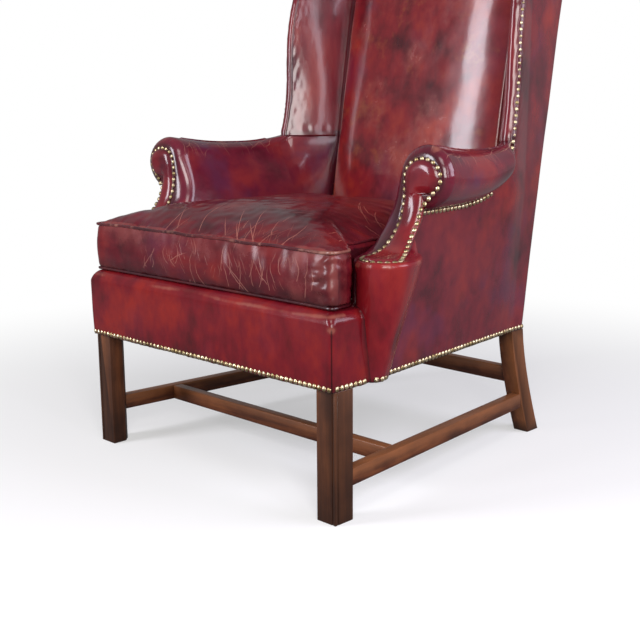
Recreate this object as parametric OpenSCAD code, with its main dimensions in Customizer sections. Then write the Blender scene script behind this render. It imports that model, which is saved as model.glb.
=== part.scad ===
// Wingback armchair: hide over a jointed hardwood frame, with a loose T-shaped seat cushion.
// Millimetres, +Z up. The chair faces -Y, and right is +X, as seen from in front.
// Inside the modules y = 0 is the front face of the front legs, and place() moves it to the origin.

/* [Overall] */
// Height of the crest above the floor
overall_height = 1120; // [1060:5:1180]
// Depth from the nail heads on the front rail to the back of the crest
overall_depth = 802; // [790:2:840]
// Width over the outer faces of the front legs
front_width = 710; // [690:2:750]
// Width over the outer faces of the rear legs
rear_width = 594; // [580:2:620]
// Depth from the front of the front legs to the back of the rear legs at the seat rails
frame_depth = 652; // [640:2:670]
// Floor to the underside of the seat rails
rail_underside = 242; // [225:1:260]

/* [Legs] */
// Side of the square front legs
leg_size = 45; // [42:1:50]
// Chamfer on the inner rear corner of each front leg
leg_chamfer = 14; // [8:1:16]
// Width and depth of the quirks beside the bead on the front outer corner
quirk = 2; // [1:0.5:3]
// Distance of each quirk from the corner
quirk_offset = 8; // [6:1:10]
// Width of the rear legs
rear_leg_width = 36; // [32:1:40]
// Depth of the rear legs
rear_leg_depth = 41; // [38:1:44]
// How far the rear feet stand behind the seat frame
rear_leg_sweep = 72; // [50:1:80]

/* [Stretchers] */
// Thickness of the stretchers
stretcher_thickness = 22; // [18:1:26]
// Height of the side and cross stretchers
stretcher_height = 31; // [26:1:36]
// Floor to the underside of the side and cross stretchers
stretcher_underside = 64; // [50:1:80]
// Front of the legs to the front face of the cross stretcher
cross_stretcher_setback = 173; // [140:1:220]
// Floor to the underside of the rear stretcher
rear_stretcher_underside = 118; // [100:1:140]
// Height of the rear stretcher
rear_stretcher_height = 34; // [26:1:38]
// Length of the stretcher tenons
stretcher_tenon = 12; // [8:1:16]

/* [Seat frame] */
// Height of the seat rails
rail_height = 90; // [80:1:100]
// Thickness of the seat rails
rail_thickness = 28; // [24:1:30]
// Length of the rail tenons
rail_tenon = 16; // [12:1:20]
// Thickness of the boards of the arms, wings and back
board = 28; // [24:1:30]
// Width of the boards of the arms, wings and back
board_width = 42; // [36:1:48]
// Length of a corner block along each rail
corner_block = 60; // [50:1:70]
// Diameter of the screws in the corner blocks
screw_diameter = 5; // [4:0.5:6]

/* [Seat] */
// Floor to the top of the seat platform
deck_height = 381; // [376:1:386]
// Thickness of the padded platform
deck_thickness = 20; // [16:1:24]
// Thickness of the burlap, the webbing and the dust cover
cloth = 1; // [0.8:0.1:1.4]
// Wire of the seat springs
spring_wire = 4; // [3:0.5:5]
// Widest radius of a seat spring
spring_radius = 38; // [30:1:44]
// Width of a webbing strap
strap_width = 50; // [44:1:56]
// Radius of the front edge roll
edge_roll = 24; // [18:1:28]

/* [Cushion] */
// Height of the cushion between the middles of its two welts
boxing_height = 94; // [84:1:98]
// Rise of the crown above the top welt
crown = 42; // [24:1:46]
// Half width of the cushion over its ears
ear_half_width = 348; // [342:1:352]
// How far the sides pull in between their corners
draw_in = 4; // [2:0.5:6]
// Diameter of the welts
welt = 7; // [6:0.5:8]

/* [Arms] */
// Radius of the arm scroll at its face
scroll_radius = 57; // [54:1:60]
// Floor to the top of the scroll
scroll_top = 652; // [646:1:656]
// Floor to the lowest point of the dip in the arm
arm_dip_height = 636; // [630:1:642]
// Front of the legs to the face of the scroll
scroll_setback = 205; // [198:1:212]
// Radius of the concave sweep from the scroll down to the lip
sweep_radius = 106; // [100:1:108]
// Floor to the lip at the foot of the facing
lip_height = 461; // [456:1:466]
// Radius of the round lip, to its nails
lip_radius = 42; // [38:1:44]
// Hide beyond the nails, round the edge of the facing
facing_margin = 11; // [8:1:12]
// Width of the facing between the nail rows of its neck
neck_width = 39; // [34:1:44]
// Thickness of the padded facing
facing_thickness = 4; // [3:0.5:5]
// Thickness of the upholstered arm at seat height
arm_thickness = 58; // [55:1:62]
// How far the arms and wings lean out from the seat frame
flare = 34; // [28:1:38]
// Radius of the foot of the cone under the lip
cone_foot_radius = 25; // [20:1:28]

/* [Wings and back] */
// Floor to the seam between arm and wing
wing_seam = 656; // [654:1:664]
// Front of the legs to the front edge of the wings at the seam
wing_setback = 541; // [534:1:548]
// Width of the border along the front of the wings
wing_border = 26; // [22:1:30]
// Thickness of the back at its edges
back_edge = 78; // [74:1:82]
// How far the inside back swells forward in the middle
back_swell = 26; // [14:1:30]
// Half width of the inside back
back_half_width = 238; // [234:1:242]
// How much lower the crest is at its ends
crest_drop = 22; // [10:1:30]

/* [Covering] */
// Thickness of the hide
hide = 3; // [2:0.5:4]
// Hide and stuffing over the front rail
front_padding = 8; // [6:0.5:12]
// Diameter of the nail heads along the rails
rail_nail = 11; // [9:0.5:11.5]
// Spacing of the nails along the rails
rail_pitch = 11.6; // [11.6:0.2:13]
// Diameter of the nail heads on the arms and wings
arm_nail = 10.5; // [9:0.5:11.5]
// Spacing of the nails on the arms and wings
arm_pitch = 13; // [12:0.5:15]
// Height of a nail head
nail_height = 3; // [2.4:0.2:3.6]

/* [Hidden] */

// Half widths of the frame, and where its members stand behind the front of the legs
front_half = front_width / 2;
rear_half = rear_width / 2;
front_y = front_padding + nail_height - overall_depth / 2;
rear_leg_front = frame_depth - rear_leg_depth;
rail_top = rail_underside + rail_height;
side_taper = (front_half - rear_half) / (rear_leg_front - leg_size);
taper_angle = atan(side_taper);
back_setback = overall_depth - front_padding - nail_height - frame_depth;
wing_top = overall_height - crest_drop;
post_top = wing_top - board;
rake_bow_share = 0.2;
sweep_shares = [for (i = [0:8]) i / 8];
rear_leg_power = 1.4;
tenon_share = 0.4;
round_power = 2.5;
junction_bend_share = 0.27;
dip_share = 0.67;
overrun = 5;
clear = 0.5;
fine = 32;

// Places on the arm that follow from its sizes
sweep_centre_z = lip_height + sweep_radius;
lip_setback = scroll_setback - sweep_radius;
junction_height = scroll_top - 2 * scroll_radius;
junction_bend = lerp(scroll_setback, wing_setback, junction_bend_share);
dip_setback = lerp(scroll_setback, wing_setback, dip_share);
seam_rise = wing_seam - arm_dip_height - 2 * hide;
arm_rail_back = wing_setback + 2 * hide;
crest_front = back_edge_y(post_top - edge_roll);
crest_back = frame_depth + back_setback;
crest_middle = lerp(crest_front, crest_back, 0.5);
board_inner = hide + board;
rim_radius = lip_radius + facing_margin;
lip_centre = [panel_x(lip_setback, lip_height) - facing_thickness, lip_setback + 3 * facing_thickness];
cone_foot_reach = hide * 5;

// Colours of the woods, the hide, the brass and the cloths
mahogany = [0.30, 0.13, 0.08];
beech = [0.72, 0.58, 0.42];
oxblood = [0.42, 0.07, 0.09];
brass = [0.72, 0.60, 0.36];
jute = [0.66, 0.55, 0.38];
steel = [0.55, 0.56, 0.58];
black_cloth = [0.12, 0.11, 0.11];

function lerp(a, b, t) = a + (b - a) * t;
function clamp01(t) = min(1, max(0, t));
function smooth(t) = let (c = clamp01(t)) c * c * (3 - 2 * c);
function bulge(t) = sqrt(max(0, 1 - t * t));
function full_round(t) = pow(1 - pow(clamp01(t), round_power), 1 / round_power);

// Outer line of the seat frame, and the outer face of the hide on the sides of the chair
function side_x(y) = front_half - side_taper * min(rear_leg_front - leg_size, max(0, y - leg_size));
function rise_share(z) = (z - rail_underside) / (post_top - rail_underside);
function back_y(z) = z > post_top
    ? lerp(crest_middle, crest_back, bulge((z - post_top) / (wing_top - post_top)))
    : let (t = rise_share(z)) frame_depth + back_setback * (t + rake_bow_share * (t * t - t));
function flare_run(y, z) = clamp01((back_y(z) - y) / (back_y(z) - arm_rail_back));
function flare_rise(z) = clamp01((z - rail_underside) / (junction_height - rail_underside));
function panel_x(y, z) = side_x(y) + flare * flare_rise(z) * flare_run(y, z);

// Front edge of the wing at each height: nearly upright, then rounding back to the crest
wing_bend_share = 0.3;
wing_bend = lerp(wing_seam, wing_top, wing_bend_share);
wing_lean_share = 0.7;
wing_lean = wing_border * wing_lean_share;
function wing_edge(z) = z < wing_bend
    ? wing_setback + wing_lean * (1 - pow(1 - clamp01((z - wing_seam) / (wing_bend - wing_seam)), 2))
    : lerp(crest_middle, wing_setback + wing_lean, full_round((z - wing_bend) / (wing_top - wing_bend)));

// Line along the underside of the roll, as the height at each y and the y at each height
function junction_z(y) = y <= junction_bend ? junction_height
    : lerp(wing_seam, junction_height, full_round((y - junction_bend) / (wing_setback - junction_bend)));
function junction_y(z) = lerp(junction_bend, wing_setback,
    full_round((wing_seam - z) / (wing_seam - junction_height)));

// Top of the arm at each y, and the radius of the roll under it
function arm_top(y) = y < dip_setback
    ? lerp(arm_dip_height, scroll_top, pow((dip_setback - y) / (dip_setback - scroll_setback), 2))
    : min(wing_seam, arm_dip_height + seam_rise * pow((y - dip_setback) / (wing_setback - dip_setback), 2));
function roll_radius(y) = max(2 * hide, (arm_top(y) - min(junction_z(y), arm_top(y) - 4 * hide)) / 2);
roll_fade_share = 0.5;
function roll_share(y) = 1 - smooth((y - lerp(dip_setback, wing_setback, roll_fade_share))
    / ((wing_setback - dip_setback) * (1 - roll_fade_share)));

// Front of the upholstered arm at each height, behind its facing
body_sweep = sweep_radius + facing_thickness + clear;
function body_front(z) = z < sweep_centre_z - body_sweep ? lip_setback
    : z > sweep_centre_z ? lip_setback + body_sweep
    : lip_setback + sqrt(max(0, body_sweep * body_sweep - pow(sweep_centre_z - z, 2)));

// Inner face of the arm low down, and the inner face of the wing between its border and the back
function arm_in(y) = side_x(y) - arm_thickness;
function back_edge_y(z) = back_y(z) - back_edge;
function wing_seam_x(z) = panel_x(wing_edge(z), z) - wing_border;
function wing_seam_y(z) = wing_edge(z) - 3 * hide;
function wing_in(y, z) = lerp(wing_seam_x(z), back_half_width,
    clamp01((y - wing_seam_y(z)) / (back_edge_y(z) - wing_seam_y(z))));

// Inside back at each height: its front swells forward between its edges
swell_power = 4;
function swell(share) = back_swell * (1 - pow(abs(share), swell_power));
function back_front(x, z) = back_edge_y(z) - swell(x / back_half_width);

// Solid through rings of points. Rings turn anticlockwise seen from the last one. Its two ends are
// closed by a ladder between the first and second half of the ring.
module skin(rings) {
    n = len(rings[0]);
    last = (len(rings) - 1) * n;
    sides = [for (k = [0:len(rings) - 2], i = [0:n - 1])
        let (a = k * n + i, b = k * n + (i + 1) % n) each [[a, b + n, b], [a, a + n, b + n]]];
    ladder = [for (i = [0:floor(n / 2) - 1])
        each [[i, i + 1, n - 1 - i], [i + 1, n - 2 - i, n - 1 - i]]];
    rungs = [for (t = ladder) if (t[0] != t[1] && t[1] != t[2] && t[0] != t[2]) t];
    far = [for (t = rungs) [last + t[2], last + t[1], last + t[0]]];
    polyhedron([for (r = rings) each r], concat(sides, rungs, far), convexity = 6);
}

module place() {
    translate([0, front_y, 0]) children();
}

module on_side(side) {
    place() mirror([side < 0 ? 1 : 0, 0, 0]) children();
}

// Upright profile in y and z, given a thickness along x from the plane x = from
module profile(from, thickness) {
    translate([from, 0, 0]) rotate([90, 0, 90]) linear_extrude(thickness) children();
}

// Flat plan in x and y, given a height from z = from
module plan(from, height) {
    translate([0, 0, from]) linear_extrude(height) children();
}

module front_leg(side) {
    color(mahogany) on_side(side) difference() {
        translate([front_half - leg_size, 0, 0]) cube([leg_size, leg_size, rail_top]);
        translate([front_half - leg_size, leg_size, rail_underside / 2]) rotate([0, 0, 45])
            cube([leg_chamfer * sqrt(2), leg_chamfer * sqrt(2), rail_underside + overrun], center = true);
        translate([front_half - quirk_offset, -overrun, -overrun])
            cube([quirk, quirk + overrun, rail_underside + overrun]);
        translate([front_half - quirk, quirk_offset - quirk, -overrun])
            cube([quirk + overrun, quirk, rail_underside + overrun]);
        translate([front_half - hide, -overrun, rail_underside])
            cube([overrun + hide, leg_size + 2 * overrun, rail_height + overrun]);
        front_rail_tenon();
        side_rail_tenon(leg_size - rail_tenon);
        side_stretcher_tenon(leg_size - stretcher_tenon);
    }
}

function rear_leg_y(z) = rear_leg_sweep * pow(clamp01(1 - z / rail_underside), rear_leg_power);

module rear_leg(side) {
    back = [for (s = sweep_shares) [frame_depth + rear_leg_y(s * rail_underside), s * rail_underside]];
    front = [for (s = sweep_shares) [rear_leg_front + rear_leg_y(s * rail_underside), s * rail_underside]];
    color(mahogany) on_side(side) difference() {
        profile(rear_half - rear_leg_width, rear_leg_width)
            polygon(concat(back, [[frame_depth, rail_top], [rear_leg_front, rail_top]],
                [for (i = [len(front) - 1:-1:0]) front[i]]));
        translate([rear_half - hide, 0, rail_underside])
            cube([overrun + hide, frame_depth + overrun, rail_height + overrun]);
        lap();
        rear_rail_tenon();
        side_rail_tenon(rear_leg_front - overrun);
        side_stretcher_tenon(rear_leg_front);
        rear_stretcher_tenon();
    }
}

// Half of the rear leg's head that is cut away for the foot of the back post
module lap() {
    translate([rear_half - rear_leg_width - overrun, frame_depth - rear_leg_depth / 2, rail_underside])
        cube([rear_leg_width + 2 * overrun, rear_leg_depth / 2 + overrun, rail_height + overrun]);
}

function run(y0, y1, outer, thickness) = [[side_x(y0) - outer - thickness, y0], [side_x(y0) - outer, y0],
    [side_x(y1) - outer, y1], [side_x(y1) - outer - thickness, y1]];
stretcher_foot = rear_leg_front + rear_leg_y(stretcher_underside);
stretcher_head = rear_leg_front + rear_leg_y(stretcher_underside + stretcher_height);

module side_stretcher_tenon(from) {
    tenon_height = stretcher_height * (1 - tenon_share);
    tenon_thickness = stretcher_thickness * tenon_share;
    plan(stretcher_underside + (stretcher_height - tenon_height) / 2, tenon_height)
        polygon(run(from, from + stretcher_tenon + (from > leg_size ? stretcher_head - rear_leg_front : 0),
            (stretcher_thickness - tenon_thickness) / 2, tenon_thickness));
}

module side_stretcher(side) {
    color(mahogany) on_side(side) difference() {
        union() {
            intersection() {
                plan(stretcher_underside, stretcher_height)
                    polygon(run(leg_size, frame_depth, 0, stretcher_thickness));
                profile(0, front_half) polygon([[0, stretcher_underside],
                    [stretcher_foot, stretcher_underside],
                    [stretcher_head, stretcher_underside + stretcher_height],
                    [0, stretcher_underside + stretcher_height]]);
            }
            side_stretcher_tenon(leg_size - stretcher_tenon);
            side_stretcher_tenon(rear_leg_front);
        }
        cross_stretcher_tenon();
    }
}

cross_back = cross_stretcher_setback + stretcher_thickness;
module cross_stretcher_tenon() {
    reach = side_x(cross_stretcher_setback) - stretcher_thickness + stretcher_tenon;
    translate([-reach, cross_stretcher_setback + stretcher_thickness * (1 - tenon_share) / 2,
        stretcher_underside + stretcher_height * tenon_share / 2])
        cube([2 * reach, stretcher_thickness * tenon_share, stretcher_height * (1 - tenon_share)]);
}

module cross_stretcher() {
    near = side_x(cross_stretcher_setback) - stretcher_thickness;
    far = side_x(cross_back) - stretcher_thickness;
    color(mahogany) place() union() {
        plan(stretcher_underside, stretcher_height)
            polygon([[-near, cross_stretcher_setback], [near, cross_stretcher_setback],
                [far, cross_back], [-far, cross_back]]);
        cross_stretcher_tenon();
    }
}

rear_stretcher_y = rear_leg_front + rear_leg_y(rear_stretcher_underside) + rear_leg_depth * tenon_share / 4;
module rear_stretcher_tenon() {
    reach = rear_half - rear_leg_width + stretcher_tenon;
    translate([-reach, rear_stretcher_y + stretcher_thickness * (1 - tenon_share) / 2,
        rear_stretcher_underside + rear_stretcher_height * tenon_share / 2])
        cube([2 * reach, stretcher_thickness * tenon_share, rear_stretcher_height * (1 - tenon_share)]);
}

module rear_stretcher() {
    reach = rear_half - rear_leg_width;
    color(mahogany) place() union() {
        translate([-reach, rear_stretcher_y, rear_stretcher_underside])
            cube([2 * reach, stretcher_thickness, rear_stretcher_height]);
        rear_stretcher_tenon();
    }
}

rail_tenon_height = rail_height * (1 - tenon_share);
rail_tenon_z = rail_underside + (rail_height - rail_tenon_height) / 2;
module front_rail_tenon() {
    reach = front_half - leg_size + rail_tenon;
    translate([-reach, rail_thickness * (1 - tenon_share) / 2, rail_tenon_z])
        cube([2 * reach, rail_thickness * tenon_share / 2, rail_tenon_height]);
}

module front_seat_rail() {
    reach = front_half - leg_size;
    color(beech) place() union() {
        translate([-reach, 0, rail_underside]) cube([2 * reach, rail_thickness, rail_height]);
        front_rail_tenon();
    }
}

module side_rail_tenon(from) {
    inset = hide + rail_thickness * tenon_share;
    plan(rail_tenon_z, rail_tenon_height)
        polygon(run(from, from + rail_tenon + overrun, inset, rail_thickness * tenon_share / 2));
}

module side_seat_rail(side) {
    color(beech) on_side(side) intersection() {
        union() {
            plan(rail_underside, rail_height) polygon(run(leg_size, rear_leg_front, hide, rail_thickness));
            side_rail_tenon(leg_size - rail_tenon);
            side_rail_tenon(rear_leg_front - overrun);
        }
        translate([0, 0, rail_underside])
            cube([front_width, rear_leg_front + rail_tenon + overrun, rail_height]);
    }
}

module rear_rail_tenon() {
    reach = rear_half - rear_leg_width + rail_tenon / 2;
    translate([-reach, rear_leg_front + rear_leg_depth / 8, rail_tenon_z])
        cube([2 * reach, rail_thickness * tenon_share / 2, rail_tenon_height]);
}

module rear_seat_rail() {
    reach = rear_half - rear_leg_width;
    color(beech) place() union() {
        translate([-reach, rear_leg_front, rail_underside]) cube([2 * reach, rail_thickness, rail_height]);
        rear_rail_tenon();
    }
}

// Triangles of wood glued and screwed across the corners of the seat frame
block_share = 0.6;
block_height = rail_height * block_share;
block_z = rail_underside + (rail_height - block_height) / 2;
module front_block() {
    inner = side_x(leg_size) - hide - rail_thickness;
    polygon([[front_half - leg_size - corner_block, rail_thickness], [front_half - leg_size, rail_thickness],
        [front_half - leg_size, leg_size], [inner, leg_size],
        [side_x(leg_size + corner_block) - hide - rail_thickness, leg_size + corner_block]]);
}

module rear_block() {
    corner = rear_half - rear_leg_width;
    polygon([[corner - corner_block, rear_leg_front], [corner, rear_leg_front],
        [side_x(rear_leg_front) - hide - rail_thickness, rear_leg_front],
        [side_x(rear_leg_front - corner_block) - hide - rail_thickness, rear_leg_front - corner_block]]);
}

module corner_blocks() {
    color(beech) difference() {
        for (side = [-1, 1]) on_side(side) plan(block_z, block_height) {
            front_block();
            rear_block();
        }
        screws(overrun);
    }
}

// Each screw runs level, from the block's long face into the middle of the rail behind it
screw_length = rail_thickness + board;
screw_shares = [0.3, 0.7];
module screws(head_room) {
    for (side = [-1, 1], share = screw_shares) on_side(side) {
        for (y = [leg_size + corner_block / 2, rear_leg_front - corner_block / 2])
            translate([side_x(y) - hide - rail_thickness / 2, y, block_z + share * block_height])
                rotate([0, -90, 0]) {
                    cylinder(h = screw_length, d = screw_diameter, $fn = fine);
                    translate([0, 0, screw_length - screw_diameter / 2])
                        cylinder(h = screw_diameter / 2 + head_room, r = screw_diameter, $fn = fine);
                }
    }
}

module corner_screws() {
    color(steel) screws(0);
}

// Back post: lapped behind the head of the rear leg, then raked up to the crest
module back_post(side) {
    levels = [for (s = sweep_shares) lerp(rail_top, post_top, s)];
    color(beech) on_side(side) union() {
        translate([rear_half - rear_leg_width, frame_depth - rear_leg_depth / 2, rail_underside])
            cube([rear_leg_width - hide, rear_leg_depth / 2 - hide, rail_height]);
        profile(rear_half - hide - board, board)
            polygon(concat([for (z = levels) [back_y(z) - hide - clear, z]],
                [for (i = [len(levels) - 1:-1:0]) [back_y(levels[i]) - hide - board_width, levels[i]]]));
    }
}

// Cross member of the back between the posts, from one height to another
module back_member(z0, z1) {
    reach = rear_half - hide - board;
    rear0 = back_y(z0) - hide - clear;
    rear1 = back_y(z1) - hide - clear;
    profile(-reach, 2 * reach) polygon([[rear0 - board, z0], [rear0, z0], [rear1, z1], [rear1 - board, z1]]);
}

module crest_rail() {
    color(beech) place() back_member(post_top - 2 * board, post_top);
}

module lower_back_rail() {
    foot = deck_height + deck_thickness;
    color(beech) place() back_member(foot, foot + board_width);
}

// Board of the arm or wing that stands just inside the outside panel: a quad at each height. The room
// cut for it in the stuffing is the same shape with a length over on its outer side.
function board_ring(y0, y1, z, width, over) = [[panel_x(y0, z) - hide - width, y0, z],
    [panel_x(y0, z) - hide + over, y0, z], [panel_x(y1, z) - hide + over, y1, z],
    [panel_x(y1, z) - hide - width, y1, z]];

module arm_stump(side) {
    color(beech) on_side(side)
        skin([for (z = concat(low_levels, [junction_height])) let (y = body_front(z) + hide)
            board_ring(y, y + board_width, z, board, -clear)]);
}

module arm_rail_form(over) {
    skin([for (z = [junction_height, junction_height + board])
        board_ring(body_front(z) + hide, arm_rail_back, z, 2 * board, over)]);
}

module arm_rail(side) {
    color(beech) on_side(side) arm_rail_form(-clear);
}

// Rail low in the arm that the inside cover is tacked to, from the stump to the wing post
module arm_tack_rail(side) {
    color(beech) on_side(side)
        skin([for (z = [deck_height + board, deck_height + board + board_width])
            board_ring(body_front(z) + hide + board_width, arm_rail_back, z, board, -clear)]);
}

wing_post_top = lerp(wing_bend, wing_top, 0.6);
wing_post_shares = [0, 0.3, (junction_height - rail_top) / (wing_post_top - rail_top), 0.5, 0.7, 0.8, 0.9, 1];
module wing_post_form(over) {
    skin([for (s = wing_post_shares) let (z = lerp(rail_top, wing_post_top, s),
        y = max(arm_rail_back, wing_edge(z) + 2 * hide)) board_ring(y, y + board_width, z, board, over)]);
}

module wing_post(side) {
    color(beech) on_side(side) wing_post_form(-3 * clear);
}

// Curved rail along the top of the wing, from the wing post to the back post
wing_rail_shares = [0, 0.25, 0.5, 0.75, 1];
wing_rail_power = 0.6;
module wing_rail_form(over) {
    skin([for (s = wing_rail_shares)
        let (z1 = lerp(wing_post_top, post_top, pow(s, wing_rail_power)) - cloth, z0 = z1 - board,
            y = lerp(wing_edge(wing_post_top) + 2 * hide + board_width,
                back_y(wing_top - 2 * board) - hide - board_width, s),
            x = panel_x(y, z1) - hide)
            [[x - board, y, z0], [x - board, y, z1], [x + over, y, z1], [x + over, y, z0]]]);
}

module wing_rail(side) {
    color(beech) on_side(side) wing_rail_form(-2 * clear);
}

// Straps tacked under the seat rails, in two layers that cross
strap_gap_share = 0.5;
first_strap_share = 0.1;
module seat_webbing() {
    pitch = strap_width * (1 + strap_gap_share);
    half_count = floor((rear_half - rear_leg_width - strap_width / 2) / pitch);
    count = floor((rear_leg_front - leg_size - strap_width) / pitch);
    color(jute) place() union() {
        for (k = [-half_count:half_count])
            translate([k * pitch - strap_width / 2, cloth, rail_underside - 2 * cloth])
                cube([strap_width, rear_leg_front + rail_thickness - 2 * cloth, cloth]);
        for (k = [0:count])
            let (y = leg_size + (k + first_strap_share) * pitch, reach = side_x(y + strap_width) - 2 * hide)
                translate([-reach, y, rail_underside - cloth]) cube([2 * reach, strap_width, cloth]);
    }
}

// Hourglass springs: each is one unbroken wire of four turns between two flat end turns
spring_turns = 4;
spring_steps = 8;
wire_sides = 5;
spring_waist_share = 0.75;
spring_rise = deck_height - deck_thickness - cloth - rail_underside - spring_wire;
function coil_point(t) = let (a = 360 * spring_turns * t,
    r = spring_radius * lerp(spring_waist_share, 1, pow(2 * t - 1, 2)))
    [r * cos(a), r * sin(a), spring_rise * t];
coil_gap = min([for (i = [0:spring_steps * (spring_turns - 1)])
    let (s = 1 / (spring_turns * spring_steps))
        norm(coil_point((i + spring_steps) * s) - coil_point(i * s))]) - spring_wire;
echo(least_gap_in_the_spring = coil_gap);

module spring() {
    count = spring_turns * spring_steps;
    skin([for (i = [0:count]) let (p = coil_point(i / count), a = 360 * spring_turns * i / count)
        [for (k = [0:wire_sides - 1]) let (b = 90 - 360 * k / wire_sides)
            p + spring_wire / 2 * [cos(b) * cos(a), cos(b) * sin(a), 1 + sin(b)]]]);
}

spring_pitch = 2 * spring_radius + strap_width * 2;
module seat_springs() {
    middle = lerp(leg_size, rear_leg_front, 0.5);
    color(steel) place()
        for (i = [-1, 0, 1], j = [-1, 0, 1])
            translate([i * spring_pitch, middle + j * (spring_pitch - board), rail_underside]) spring();
}

// Floor plan of the space between the arms, from behind the edge roll to the inside back
deck_front = leg_size + hide;
deck_back = back_edge_y(deck_height) - clear;
module seat_plan(inset) {
    front_x = arm_in(lip_setback) - inset;
    back_x = arm_in(deck_back) - inset;
    polygon([[-front_x, deck_front], [front_x, deck_front], [front_x, lip_setback], [back_x, deck_back],
        [-back_x, deck_back], [-front_x, lip_setback]]);
}

module seat_burlap() {
    color(jute) place() plan(deck_height - deck_thickness - cloth, cloth) seat_plan(clear);
}

module seat_platform() {
    color(jute) place() plan(deck_height - deck_thickness, deck_thickness) seat_plan(clear);
}

module dust_cover() {
    inset = 2 * hide;
    front = front_half - leg_size;
    rear = rear_half - rear_leg_width;
    right = [[front, hide], [front, leg_size], [side_x(leg_size) - inset, leg_size],
        [side_x(rear_leg_front) - inset, rear_leg_front], [rear, rear_leg_front],
        [rear, rear_leg_front + board - hide]];
    color(black_cloth) place() plan(rail_underside - 3 * cloth, cloth)
        polygon(concat(right, [for (i = [len(right) - 1:-1:0]) [-right[i][0], right[i][1]]]));
}

// Straps across the front of the back posts, behind the stuffing
function webbing_y(z) = back_y(z) - hide - board_width;
module back_webbing() {
    reach = rear_half - hide;
    pitch = strap_width * 2;
    low = deck_height + deck_thickness + board_width;
    count = floor((post_top - 2 * board - low) / pitch) - 1;
    color(jute) place()
        for (k = [0:count]) let (z0 = low + (k + 0.5) * pitch, z1 = z0 + strap_width)
            profile(-reach, 2 * reach) polygon([[webbing_y(z0) - cloth, z0], [webbing_y(z0), z0],
                [webbing_y(z1), z1], [webbing_y(z1) - cloth, z1]]);
}

// Block of the apron before the frame is cut from it: rounded over its front and side edges
apron_flare = hide;
module apron_block() {
    r = edge_roll;
    corner = 2 * hide;
    hull() for (side = [-1, 1]) {
        translate([side * (front_half - corner), corner - front_padding, rail_underside])
            cylinder(h = cloth, r = corner, $fn = fine);
        translate([side * (front_half - hide), lip_setback - hide, rail_underside])
            translate([-hide, 0, 0]) cube([2 * hide, hide, cloth]);
        translate([side * (front_half + apron_flare - r), r - front_padding, deck_height - r])
            sphere(r = r, $fn = fine);
        translate([side * (front_half + apron_flare - r), lip_setback, deck_height - r])
            rotate([90, 0, 0]) cylinder(h = cloth, r = r, $fn = fine);
    }
}

// Everything inside the hide of the outside panels between two depths and two heights
module inboard(y0, y1, z0, z1, inset) {
    skin([for (z = [z0, z1]) [[-panel_x(y0, z) + inset, y0, z], [panel_x(y0, z) - inset, y0, z],
        [panel_x(y1, z) - inset, y1, z], [-panel_x(y1, z) + inset, y1, z]]]);
}

module front_apron() {
    low = rail_underside - overrun;
    color(oxblood) place() difference() {
        apron_block();
        translate([-front_half + hide, 0, low])
            cube([front_width - 2 * hide, lip_setback + overrun, rail_height + overrun]);
        plan(low, front_width) seat_plan(0);
    }
}

// Section of the arm at one depth: inner points from the bottom up, then outer points from the top down
sweep_angles = [0, 10, 20, 30, 45, 60, 75];
roll_angles = [-72, -50, -25, 0, 22, 42, 60, 76];
inner_bend = deck_height + boxing_height;
function roll_centre(y) = [panel_x(y, wing_seam), arm_top(y) - roll_radius(y)];
function upper_in(y) = min(roll_centre(y)[0] - roll_radius(y), wing_in(y, wing_seam));
arm_curve_power = 1.6;
function inner_x(y, z) = lerp(arm_in(y), upper_in(y),
    pow(clamp01((z - inner_bend) / (roll_centre(y)[1] - inner_bend)), arm_curve_power));
low_levels = concat([rail_top, deck_height],
    [for (a = sweep_angles) min(sweep_centre_z - body_sweep * cos(a), junction_height - hide)]);

// Each station is a share of the way from the sweep to the inside back, which leans
arm_body_front = lip_setback + body_sweep;
function station_y(share, z) = let (y = lerp(arm_body_front, back_edge_y(z), share))
    y + (body_front(z) - arm_body_front) * (1 - smooth((y - arm_body_front) / arm_thickness));
function arm_ring(share) = let (
    y = station_y(share, wing_seam), r = roll_radius(y), c = roll_centre(y),
    outward = roll_share(y), skin_x = panel_x(y, wing_seam) - hide - 2 * cloth * (1 - outward),
    low = [for (z = concat(low_levels, [c[1] - r])) [station_y(share, z), z]],
    low_in = [for (p = low) [inner_x(p[0], p[1]), p[0], p[1]]],
    low_out = [for (p = low) [panel_x(p[0], p[1]) - board_inner, p[0], p[1]]],
    high_in = [for (a = roll_angles) let (z = c[1] + r * sin(a), y1 = station_y(share, z))
        [(a < 0 ? inner_x(y1, z) : upper_in(y1) + outward * r * (1 - cos(a))), y1, z]],
    high_out = [for (a = roll_angles) let (z = c[1] + r * sin(a))
        [skin_x + outward * (r + hide) * cos(a), station_y(share, z), z]],
    out = concat(low_out, high_out))
    concat(low_in, high_in, [for (i = [len(out) - 1:-1:0]) out[i]]);

arm_steps = 16;
module inside_arm(side) {
    color(oxblood) on_side(side) difference() {
        skin([for (k = [0:arm_steps]) arm_ring(k / arm_steps)]);
        arm_rail_form(overrun);
        wing_post_form(overrun);
    }
}

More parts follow.
